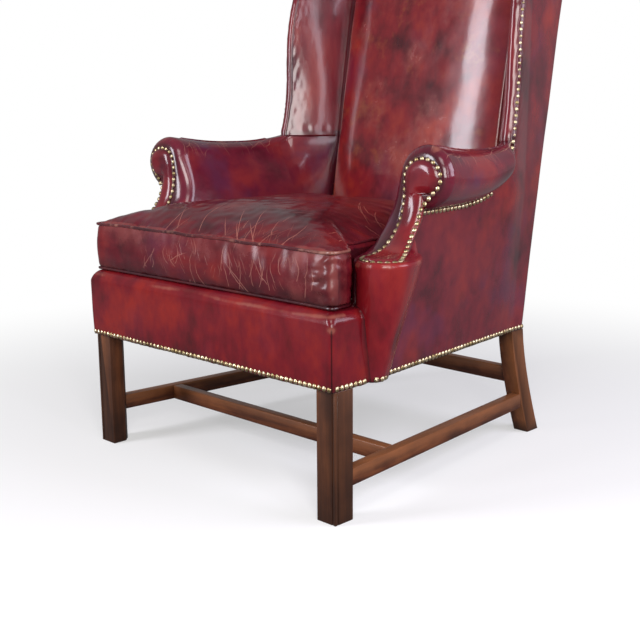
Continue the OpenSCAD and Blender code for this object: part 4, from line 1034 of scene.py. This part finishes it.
facing = laid("facing_hide_right", facing_points())
walled(facing, (0, -1, 0.5), 1.6)
push(facing, lambda x, y, z: 0.35 * ripple(x, y, z, 40, 51)
     + 0.9 * ripple(x, y, z, 12, 7) * np.exp(-(((x - 403) / 12) ** 2 + ((y - 112) / 14) ** 2))
     + 0.5 * ripple(x, y, z, 11, 8) * np.exp(-(((x - 372) / 22) ** 2 + ((z - 632) / 7) ** 2)))


def near_nails(x, y, z):
    """How near a point is to the nails on the neck's inner side and round the scroll."""
    inner = close_to(x - neck_left, 4) * (z < scroll_z)
    round_it = (y > 190) * (z > 560) * ((z > scroll_z) | (x > 380))
    return share(inner * (y > 140) + np.exp(-abs(past_scroll(x, z) - 1) * 8) * round_it)


# A pale line along the turned edge beyond the outer nails, wear with a painted highlight, and a rubbed patch
# on the lip.
mark(facing, "wear", lambda x, y, z:
     0.9 * band(x, 374.6, 2) * (z < 565) * share(0.4 + ripple(x, y, z, 25, 2))
     + 0.8 * np.exp(-(((x - 404) / 12) ** 2 + ((y - 112) / 14) ** 2)) * share(0.5 + ripple(x, y, z, 10, 3)))
# Painted shade round the nails.
mark(facing, "grime", lambda x, y, z: 0.85 * near_nails(x, y, z))
facing_leather = leather("facing_leather", "3c0813", "6a121e", "7e1c20", 0.25, 0.2, (1, 1, 1), 31)
pair(facing, "arm_facing", polished(facing_leather))

# INSIDE WINGS
# Each wing has a stuffed border sewn along its front edge, and inside that a face that turns in to meet
# the back. The hide is pulled tight at the seam between them and wrinkles a little at its foot.
def wing_points():
    """Rows across the wing at each height: a tuck, the border, and the face in to the back."""
    z = np.concatenate([np.linspace(645, 1000, 91), lerp(1000, 1094, np.linspace(0.03, 1, 40))])[:, None]
    t = np.linspace(0, 1, 25)[None, :]
    outer_x, outer_y = panel_x(wing_edge(z), z) - 1.0, wing_edge(z)
    seam_x, seam_y = outer_x - 25, np.minimum(wing_edge(z) - 9, back_edge_y(z) + 5)
    nose = np.sin(np.pi * t) ** 0.6
    border_x = lerp(outer_x, seam_x, t)
    border_y = lerp(outer_y, seam_y, t) - 9 * nose
    s = np.linspace(0, 1, 61)[None, 1:]
    edge_y = back_edge_y(z) + 6
    swell = 6.0 * np.sin(np.pi * s)
    face_x = lerp(seam_x, 236, s) - swell * 0.75
    face_y = lerp(seam_y, edge_y, s) - swell * 0.5
    tuck_x, tuck_y = outer_x - 1, outer_y + 6
    x = np.concatenate([tuck_x, border_x, face_x], axis=1)
    y = np.concatenate([tuck_y, border_y, face_y], axis=1)
    return grid(x, y, z)


wing = stretched("inside_wing_hide_right", wing_points(), (-1, -1, 0), 61, 0.8)
push(wing, lambda x, y, z: 0.4 * ripple(0.5 * x, y, 0 * z, 26, 3) * band(z, 664, 9)
     + 0.35 * ripple(x, y, z, 18, 4) * close_to(y - wing_edge(z) + 6, 12))
mark(wing, "wear", lambda x, y, z:
     0.45 * share(ripple(x, y, 0.2 * z, 30, 3)) * close_to(y - wing_edge(z), 25))
# Painted shade in the border's seam, in the corner by the back, at the wing's foot and along its outer edge.
mark(wing, "grime", lambda x, y, z:
     0.8 * close_to(x - (panel_x(wing_edge(z), z) - 26), 1.3) * (abs(y - wing_edge(z) + 9) < 6)
     + 0.7 * close_to(y - back_edge_y(z), 9) * (x < 250) + 0.45 * beyond(z - wing_foot, 3)
     + 0.7 * close_to(x - panel_x(wing_edge(z), z) + 3, 3))
wing_leather = leather("wing_leather", "420a15", "6c1420", "842524", 0.35, 0.3, (1, 1, 0.3), 44)
pair(wing, "inside_wing", polished(wing_leather))

# INSIDE BACK
# The back is one large hide over deep stuffing. It swells forward between its edges, is turned in beside
# the wings, and rolls over the crest rail to the back of the chair.
back_half, crest_half = 238.5, 294


def back_points():
    """Rows across the back, from under the cushion up to the crest and over it."""
    s = np.linspace(-1, 1, 141)[None, :]
    swell = 26 * (1 - abs(s) ** 4)
    z = np.linspace(372, 1040, 110)[:, None]
    turned = 12 * np.clip((abs(s) - 0.955) / 0.045, 0, 1) ** 2
    rows = [grid(s * back_half, back_edge_y(z) - swell + turned, z)]
    top = 1120 - 22 * s * s
    front = float(back_edge_y(1046)) - swell - 2
    for t in np.linspace(0.1, 1, 10):
        y = lerp(back_edge_y(1040) - swell + turned * (1 - t), front, t)
        rows.append(grid(s * lerp(back_half, crest_half, smooth(t)), y, lerp(1040, 1068, t)))
    for a in angles(4, 180, 44):
        y = lerp(front, crest_back, (1 - math.cos(a)) / 2)
        rows.append(grid(s * crest_half, y, lerp(1070, top, math.sin(a))))
    return np.concatenate([row.reshape(-1, 141, 3) for row in rows])


back = stretched("inside_back_hide", back_points(), (0, -1, 0.2), 71, 0.9)
mark(back, "wear", lambda x, y, z: 0.4 * share(ripple(x, 0, z, 130, 3)) * (z > 560)
     + 0.6 * band(z, 1112, 12))
# Painted shade at the edges beside the wings and low down behind the cushion.
mark(back, "grime", lambda x, y, z:
     0.8 * smooth((abs(x) - 226) / 12) * (z < 1045) + 0.5 * np.exp(-(z - 430) / 30))
back_leather = leather("back_leather", "400a13", "6e131b", "862418", 0.6, 0.3, (0.9, 1, 0.7), 57)
golden = step(back_leather.clouds(0.07, 4.0, shift=(8, 2, 5), roughness=0.6), 0.55, 0.75)
back_leather.colour = back_leather.mix(back_leather.colour, tone("8f4c26"), golden * 0.45)
dress(back, polished(back_leather))
carry(back, "chair", "inside_back")

# OUTSIDE BACK
# A plain hide closes the back of the chair. It is blind tacked at its top and down its sides, and nailed
# along its foot to the rear rail.
outside = surface("outside_back_hide", 120, 140, lambda u, v: (
    lerp(-293.4, 293.4, u),
    back_y(lerp(underside, 1069, v)) - 8 * (1 - bulge(share((abs(2 * u - 1) - 0.972) / 0.028))) * 0.4,
    lerp(underside, 1069, v)))
walled(outside, (0, 1, 0), 2.4)
soft(outside, 81, 0.7)
push(outside, lambda x, y, z: 0.6 * ripple(x, y, 0 * z, 22, 5) * above_rail(z, 15)
     - 1.2 * band(abs(x), 290, 2.0))
mark(outside, "wear", lambda x, y, z: 0.5 * band(z, 1060, 12) + 0.3 * share(ripple(x, 0, z, 120, 5)))
# Painted shade along the nails; the side seams darker too.
mark(outside, "grime", lambda x, y, z: 0.75 * above_rail(z, 7) + 0.5 * band(abs(x), 290, 2.0))
dress(outside, outside_leather.material)
carry(outside, "chair", "outside_back")

# BRASS NAILS
# Domed nails of cast brass, set close along the rails, the facings, the rolls and the wings. Polish and
# wear keep their crowns bright, and old wax has darkened them between.
brass = Finish("antique_brass", Metallic=1.0)
patina = brass.clouds(0.009, 3.0)
each = brass.clouds(0.03, 1.0)
gilt = brass.mix(tone("d6c6a2"), tone("94815a"), step(patina, 0.42, 0.62))
dulled = brass.mix(gilt, tone("5c4c30"), step(each, 0.5, 0.72) * 0.6)
brass.finish(dulled, 0.24 + 0.22 * patina, patina, 0.0004)
nail_rows = [f"{row}_nails_{side}" for row in ("facing", "roll", "wing") for side in ("left", "right")]
for name in ["rail_nails"] + nail_rows:
    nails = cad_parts[name]
    nails.modifiers.new("Weld", "WELD").merge_threshold = 0.00001
    only(nails)
    bpy.ops.object.shade_smooth()
    dress(nails, brass.material)

# SEAT CUSHION
# A loose T-shaped cushion of hide, boxed and piped and filled with down, so its top is crowned and its
# boxing full. Years of use have scuffed its front to tan and scratched it pale.
def outwards(ahead):
    """Unit steps to the outside of a plan line that runs anticlockwise."""
    return np.stack([ahead[:, 1], -ahead[:, 0]], axis=1) / np.linalg.norm(ahead, axis=1)[:, None]


def cushion_outline(pull):
    """The cushion's plan, anticlockwise from the middle of its front, drawn in by a length."""
    x = np.linspace(0, 338, 60)
    half = [np.stack([x, 4 * bulge(x / 348)], axis=1)]
    a = angles(-90, 0, 14)
    half.append(np.stack([340 + 9 * np.cos(a), 9 + 9 * np.sin(a)], axis=1))
    a = angles(243, 205, 16)
    half.append(np.stack([np.minimum(lip_x + 61 * np.cos(a), 349), lip_y + 61 * np.sin(a)], axis=1))
    t = np.linspace(0, 1, 90)
    y = lerp(92, 544, t)
    half.append(np.stack([side_x(y) - 59.5 - 4 * np.sin(np.pi * t), y], axis=1))
    x = np.linspace(222, 0, 50)
    half.append(np.stack([x, 593.4 - 26 * (1 - (x / 238) ** 4) - 5.5], axis=1))
    half = np.concatenate(half)
    line = np.concatenate([half, (half * [-1, 1])[-2:0:-1], half[:1]])
    run = np.concatenate([[0], np.cumsum(np.hypot(*np.diff(line, axis=0).T))])
    even = np.linspace(0, run[-1], 401)[:-1]
    line = np.stack([np.interp(even, run, line[:, 0]), np.interp(even, run, line[:, 1])], axis=1)
    for _ in range(2):
        line = (np.roll(line, 1, axis=0) + line * 2 + np.roll(line, -1, axis=0)) / 4
    return line - outwards(np.roll(line, -1, axis=0) - np.roll(line, 1, axis=0)) * pull


seam_low, seam_high = 384.8, 478.8


def cushion_points():
    """Closed rings from the middle of the base, round the boxing and over the crown."""
    middle = np.array([0.0, 258.0])
    rings = []
    for s in (0.02, 0.25, 0.5, 0.75, 0.93, 0.985):
        rings.append((middle + (cushion_outline(3.5) - middle) * s, 381.8))
    for t in np.linspace(0, 1, 16):
        pull = 1.5 - 3.5 * math.sin(math.pi * t) ** 0.8
        rings.append((cushion_outline(pull), lerp(seam_low, seam_high, t)))
    for s in (0.985, 0.96, 0.92, 0.86, 0.78, 0.68, 0.56, 0.42, 0.27, 0.12, 0.02):
        rings.append((middle + (cushion_outline(1.5) - middle) * s, 479.5 + 64 * (1 - s**2.1)))
    rows = []
    for line, z in rings:
        line = np.concatenate([line, line[:1]])
        rows.append(np.column_stack([line, np.full(len(line), z)]))
    return np.array(rows)


cushion = laid("seat_cushion_hide", cushion_points())
tidied(cushion, False, 0.0002)
settle(cushion, "REMESH", mode="VOXEL", voxel_size=0.0065)
tidied(cushion)


def near_seams(x, y, z):
    """True on the base and along the upper welt, where the cover can't swell."""
    rim = cushion_outline(1.5)[::2]
    gap = np.min(np.hypot(x[:, None] - rim[:, 0], y[:, None] - rim[:, 1]), axis=1)
    return (z < 388.5) | ((gap < 7) & (abs(z - seam_high) < 5.5))


most_swell = 0.012  # metres
held = cushion.vertex_groups.new(name="held")
held.add(np.flatnonzero(near_seams(*sizes(cushion))).tolist(), 1.0, "REPLACE")
start = rows_of(cushion)
only(cushion)
swelling = cushion.modifiers.new("Cloth", "CLOTH")
cloth = swelling.settings
cloth.use_pressure, cloth.uniform_pressure_force, cloth.vertex_group_mass = True, 4.0, "held"
cloth.effector_weights.gravity = 0
cloth.quality, cloth.mass = 4, 0.4
cloth.tension_stiffness = cloth.compression_stiffness = cloth.shear_stiffness = 25
cloth.bending_stiffness = 2.0
swelling.collision_settings.use_collision = False
for moment in range(1, 15):
    bpy.context.scene.frame_set(moment)
bpy.ops.object.modifier_apply(modifier="Cloth")
bpy.context.scene.frame_set(1)
swell = rows_of(cushion) - start
length = np.linalg.norm(swell, axis=1, keepdims=True)
moved_to(cushion, start + swell * np.minimum(1, most_swell / np.maximum(length, 1e-9)))
cushion.vertex_groups.clear()
settle(cushion, "CORRECTIVE_SMOOTH", iterations=3, smooth_type="SIMPLE", use_only_smooth=True)
settle(cushion, "SUBSURF", levels=1, render_levels=1)
bpy.ops.object.shade_smooth()


def corner_creases(x, y, z):
    """Creases where the right front corner of the boxing has been sat in."""
    near = band(x, 322, 26) * (y < 60) * (z < 484) * (z > 382)
    waves = np.sin((z - 0.25 * (x - 300)) / 3.6 + 1.5 * ripple(x, y, z, 60, 3))
    return near * 2.2 * waves * (0.5 + 0.5 * ripple(x, 0, z, 35, 9))


push(cushion, lambda x, y, z: (1.3 * ripple(x, y, z, 120, 91) + 0.5 * ripple(x, y, z, 42, 92)) * (z > 390)
     + corner_creases(x, y, z)
     + 0.7 * ripple(x, y, 0.3 * z, 22, 93) * (close_to(z - 484, 5) + close_to(z - 388, 5))
     + 2.0 * band(x, -60, 120) * band(z, 430, 22) * (y < 12))


def boxing_wear(x, y, z):
    """Scuffing of the front boxing: along its top, and most at its right."""
    along_top = 0.5 * smooth((z - 405 - 10 * ripple(x, 0, z, 130, 4)) / 75) + 0.25
    left = along_top * smooth((270 - x) / 160) * (0.8 + 0.2 * ripple(x, 0, z, 90, 6))
    right = 0.95 * band(x, 290, 60) * (0.75 + 0.25 * ripple(x, y, z, 60, 5))
    return (y < 14) * share(left + right) * smooth((x + 349) / 40)


mark(cushion, "wear", lambda x, y, z: boxing_wear(x, y, z) + 0.5 * band(x, 346, 7) * (y < 40)
     + 0.5 * close_to(z - 481, 3.0) * share(ripple(x, y, 0, 60, 12)) * (y < 30))
# Painted shade on the base, low on the front boxing, towards the back and down the sides between the arms.
mark(cushion, "grime", lambda x, y, z: 0.9 * smooth((392 - z) / 7) + 0.55 * smooth((416 - z) / 30) * (y < 14)
     + 0.5 * smooth((y - 500) / 60) + 0.8 * smooth((y - 60) / 20) * (z < 470))
cushion_leather = leather("cushion_leather", "310812", "58111c", "741c1c", 0.35, 0.35, (0.5, 1, 1), 70,
                          scuff_and_highlight="843f3b", gloss=0.2, shine=0.6)
px, py, pz = cushion_leather.parts(cushion_leather.place)


def scrape(u, v, x1, y1, x2, y2, x3, y3):
    """One curved scratch through three points, given in millimetres on two of the cushion's axes."""
    turn = 2 * (x1 * (y2 - y3) + x2 * (y3 - y1) + x3 * (y1 - y2))
    q1, q2, q3 = x1 * x1 + y1 * y1, x2 * x2 + y2 * y2, x3 * x3 + y3 * y3
    cx = (q1 * (y2 - y3) + q2 * (y3 - y1) + q3 * (y1 - y2)) / turn
    cy = (q1 * (x3 - x2) + q2 * (x1 - x3) + q3 * (x2 - x1)) / turn
    radius = math.hypot(x1 - cx, y1 - cy)
    du, dv = u - cx / 1000, v - cy / 1000
    off = maths("ABSOLUTE", maths("SQRT", du * du + dv * dv) - radius / 1000)
    chord = (x3 - x1) ** 2 + (y3 - y1) ** 2
    along = (u - x1 / 1000) * ((x3 - x1) / chord * 1000) + (v - y1 / 1000) * ((y3 - y1) / chord * 1000)
    return (1.0 - step(off, 0.00018, 0.00099)) * step(along, 0.0, 0.06) * (1.0 - step(along, 0.45, 1.03))


wander = cushion_leather.clouds(0.03, 2.0) * 0.010 - 0.005
flat_u, flat_v = px + wander, py + 0.390 - wander
top_scrapes = together(scrape(flat_u, flat_v, *points) for points in (
    (-116, 6, -126, 70, -120, 175), (-98, 6, -90, 28, -84, 60), (-88, 20, -116, 53, -146, 95),
    (-16, 14, -52, 73, -71, 155), (-50, 73, -73, 160, -62, 260), (60, 16, 31, 41, 5, 65),
    (101, 8, 48, 65, -8, 135), (143, 8, 92, 74, 58, 141), (86, 38, 76, 55, 74, 70),
    (105, 8, 67, 38, 46, 60), (147, 8, 98, 45, 76, 62),
    (158, 10, 167, 27, 190, 36), (220, 6, 223, 26, 236, 40), (170, 30, 154, 57, 152, 82),
    (120, 8, 108, 40, 120, 80), (118, 330, 150, 283, 250, 232), (128, 312, 178, 262, 254, 212),
    (150, 300, 196, 268, 236, 262), (236, 208, 259, 206, 276, 222), (308, 60, 296, 97, 288, 144),
    (190, 290, 214, 262, 262, 240)))
front_scrapes = together(scrape(px + wander, pz, *points) for points in (
    (-181, 400, -158, 424, -134, 446), (-167, 404, -175, 418, -167, 430), (-93, 418, -109, 436, -97, 460),
    (-74, 414, -88, 431, -91, 450), (-19, 386, -28, 417, -21, 452), (12, 384, -9, 411, -10, 438),
    (67, 420, 65, 449, 78, 476), (134, 387, 108, 410, 66, 445), (123, 391, 91, 421, 72, 446),
    (83, 392, 77, 420, 68, 440), (140, 416, 153, 446, 159, 476), (189, 408, 169, 430, 151, 455),
    (178, 414, 172, 445, 163, 468), (210, 414, 199, 433, 203, 458), (226, 430, 218, 453, 225, 474),
    (-86, 426, -62, 438, -34, 446), (-138, 446, -153, 424, -157, 408), (150, 400, 146, 425, 152, 452),
    (196, 398, 188, 420, 190, 446)))
top_only = step(pz, 0.4800, 0.4830)
front_only = 1.0 - step(py, -0.378, -0.372)


def hairs(*rows):
    """Fine crossing scratches: u, v, pitch, share of lanes, reach along v, and seed of each row."""
    return together([strokes(cushion_leather, u + wander, v, pitch, chosen, 0.0007, reach, seed)
                     for u, v, pitch, chosen, reach, seed in rows])


front_hairs = hairs((px + 0.5 * (pz - 0.43), pz, 0.0065, 0.45, (0.395, 0.455, 0.035), 7.0),
                    (px - 0.4 * (pz - 0.43), pz, 0.0085, 0.35, (0.400, 0.460, 0.030), 9.0))
scuffed = step(cushion_leather.clouds(0.09, 3.0, shift=(3, 1, 2)), 0.35, 0.6)
front_hairs *= scuffed * step(px, -0.22, -0.15) * (1.0 - step(px, 0.25, 0.29))
top_hairs = hairs((px + 0.6 * py, py, 0.007, 0.45, (-0.392, -0.350, 0.045), 12.0),
                  (px - 0.7 * py, py, 0.009, 0.35, (-0.392, -0.345, 0.035), 13.0))
top_hairs *= step(px, 0.02, 0.08) * (1.0 - step(px, 0.22, 0.30)) * (1.0 - step(py, -0.36, -0.30))
scratched(cushion_leather, front_hairs * front_only, "b07564", 0.36)
scratched(cushion_leather, front_scrapes * front_only, "bd8373", 0.42)
scratched(cushion_leather, top_hairs * top_only, "b06a58", 0.36)
scratched(cushion_leather, top_scrapes * top_only, "bd7c6b", 0.52)
dress(cushion, polished(cushion_leather))
carry(cushion, "cushion", "seat_cushion")

# CUSHION WELTS
# Two welts of hide over cord are sewn round the cushion, where its boxing meets the top and the base.
# The upper one is rubbed pale and frayed at its right front corner.
piping = polished(leather("piping_leather", "2c0810", "4c1119", "6a1a1c", 0.3, 0.1, (1, 1, 1), 90, "a5705f"))
for name, height in (("cushion_welt_top", seam_high), ("cushion_welt_bottom", seam_low)):
    line = cushion_outline(3.4)
    line = np.concatenate([line, line[:1]])
    ahead = np.gradient(line, axis=0)
    ahead[0] = ahead[-1] = line[1] - line[-2]
    out = outwards(ahead)
    around = angles(0, 360, 13)
    thick = 2.9 + 0.25 * ripple(line[:, 0], line[:, 1], 0, 18, 14)
    points = np.empty((len(line), 13, 3))
    points[:, :, :2] = line[:, None] + out[:, None] * (thick[:, None] * np.cos(around))[:, :, None]
    wave = 0.7 * ripple(line[:, 0], line[:, 1], 0, 90, 15) * (height > 400)
    points[:, :, 2] = height + thick[:, None] * np.sin(around) + wave[:, None]
    welt = laid(name + "_cord", points)
    tidied(welt)
    bpy.ops.object.shade_smooth()
    mark(welt, "wear", lambda x, y, z: (z > 470) * (0.65 * band(x, 330, 45) * (y < 60)
         + 0.5 * share(ripple(x, y, 0, 26, 16)) * (y < 20)) + 0.3 * share(ripple(x, y, z, 40, 17)) * (y < 40))
    # Painted shade on the lower welt, under the cushion.
    mark(welt, "grime", lambda x, y, z: 0.5 * (z < 400))
    dress(welt, piping)
    carry(welt, "cushion", name)

# FLOOR, LIGHT AND CAMERA
# A pale studio floor that fades to white, daylight from tall windows around the chair, and a camera in
# front of the right arm, a little above the seat.
bpy.ops.object.select_all(action="DESELECT")
bpy.ops.mesh.primitive_circle_add(vertices=96, radius=9.0, fill_type="NGON", location=(0, 0, -0.0005))
floor = bpy.context.object
floor.name = "studio_floor"
paper = Finish("floor_paper")


def ray(finish, kind):
    """1 on the rays of one kind."""
    return finish.add("LightPath", {}, {}, f"Is {kind} Ray")


def studio(finish, near, far, share_of_far):
    """Shows one shader over another, and closes the finish's tree."""
    blend = finish.add("MixShader", {}, {"Fac": share_of_far, "Shader": near, "Shader_001": far})
    output = next(n for n in finish.tree.nodes if n.bl_idname.startswith("ShaderNodeOutput"))
    feed(finish.tree, output.inputs["Surface"], blend)


glint = 0.18  # how much of the white background shows in polished things
pale = paper.mix((0.18, 0.18, 0.18, 1), (0.9, 0.9, 0.9, 1), ray(paper, "Camera"))
matte = paper.add("BsdfDiffuse", {}, {"Color": pale})
white = paper.add("Emission", {}, {"Color": (1, 1, 1, 1), "Strength": 1.0})
distance = paper.add("VectorMath", {"operation": "LENGTH"}, {"Vector": paper.place}, "Value")
spread = paper.add("MapRange", {"interpolation_type": "SMOOTHSTEP"}, {
    "Value": distance, "From Min": 0.55, "From Max": 1.9, "To Min": 0.42})
seen = maths("MAXIMUM", ray(paper, "Camera"), ray(paper, "Glossy") * glint)
studio(paper, matte, white, spread * seen)
paper.tree.nodes.remove(paper.shader)
dress(floor, paper.material)

sky = Finish("studio", bpy.data.worlds.new("studio"))
bpy.context.scene.world = sky.material
room = sky.add("Background", {}, {"Color": (0.97, 0.97, 1.0, 1), "Strength": 0.16})
backdrop = sky.add("Background", {}, {"Color": (1, 1, 1, 1), "Strength": 1.0})
studio(sky, room, backdrop, together([
    ray(sky, "Camera"), ray(sky, "Glossy") * glint, ray(sky, "Transmission")]))


def window(name, place, aim, width, height, power, colour):
    """A tall soft light that faces a point above the middle of the floor."""
    light = bpy.data.lights.new(name, "AREA")
    light.shape, light.size, light.size_y = "RECTANGLE", width, height
    light.energy, light.color = power, colour
    lamp = placed(name, light)
    lamp.location = place
    lamp.rotation_euler = (Vector((0, 0, aim)) - Vector(place)).to_track_quat("-Z", "Y").to_euler()


window("tall_window", (-1.15, -2.75, 1.45), 0.6, 0.85, 2.0, 70, (0.93, 0.92, 1.0))
window("right_window", (2.7, -0.76, 1.3), 0.7, 0.3, 1.6, 9, (0.93, 0.9, 1.0))
window("near_window", (2.13, -1.98, 1.3), 0.7, 1.1, 1.5, 56, (1.0, 0.97, 0.95))
window("rear_window", (2.2, 0.85, 1.55), 0.6, 1.6, 1.4, 46, (0.86, 0.84, 1.0))
window("key", (1.4, -1.6, 2.9), 0.4, 1.0, 1.0, 18, (1.0, 0.97, 0.94))

lens = bpy.data.cameras.new("camera")
lens.lens, lens.sensor_width = 59.18, 36
camera = placed("camera", lens)
camera_azimuth, camera_elevation, camera_roll = 44.52, 11.74, -0.4
camera.matrix_world = Matrix.Translation((1.5468, -1.637, 0.7274))
for angle, axis in ((camera_azimuth, "Z"), (90 - camera_elevation, "X"), (camera_roll, "Z")):
    camera.matrix_world = camera.matrix_world @ Matrix.Rotation(math.radians(angle), 4, axis)
bpy.context.scene.camera = camera
bpy.context.scene.view_settings.view_transform = "Standard"
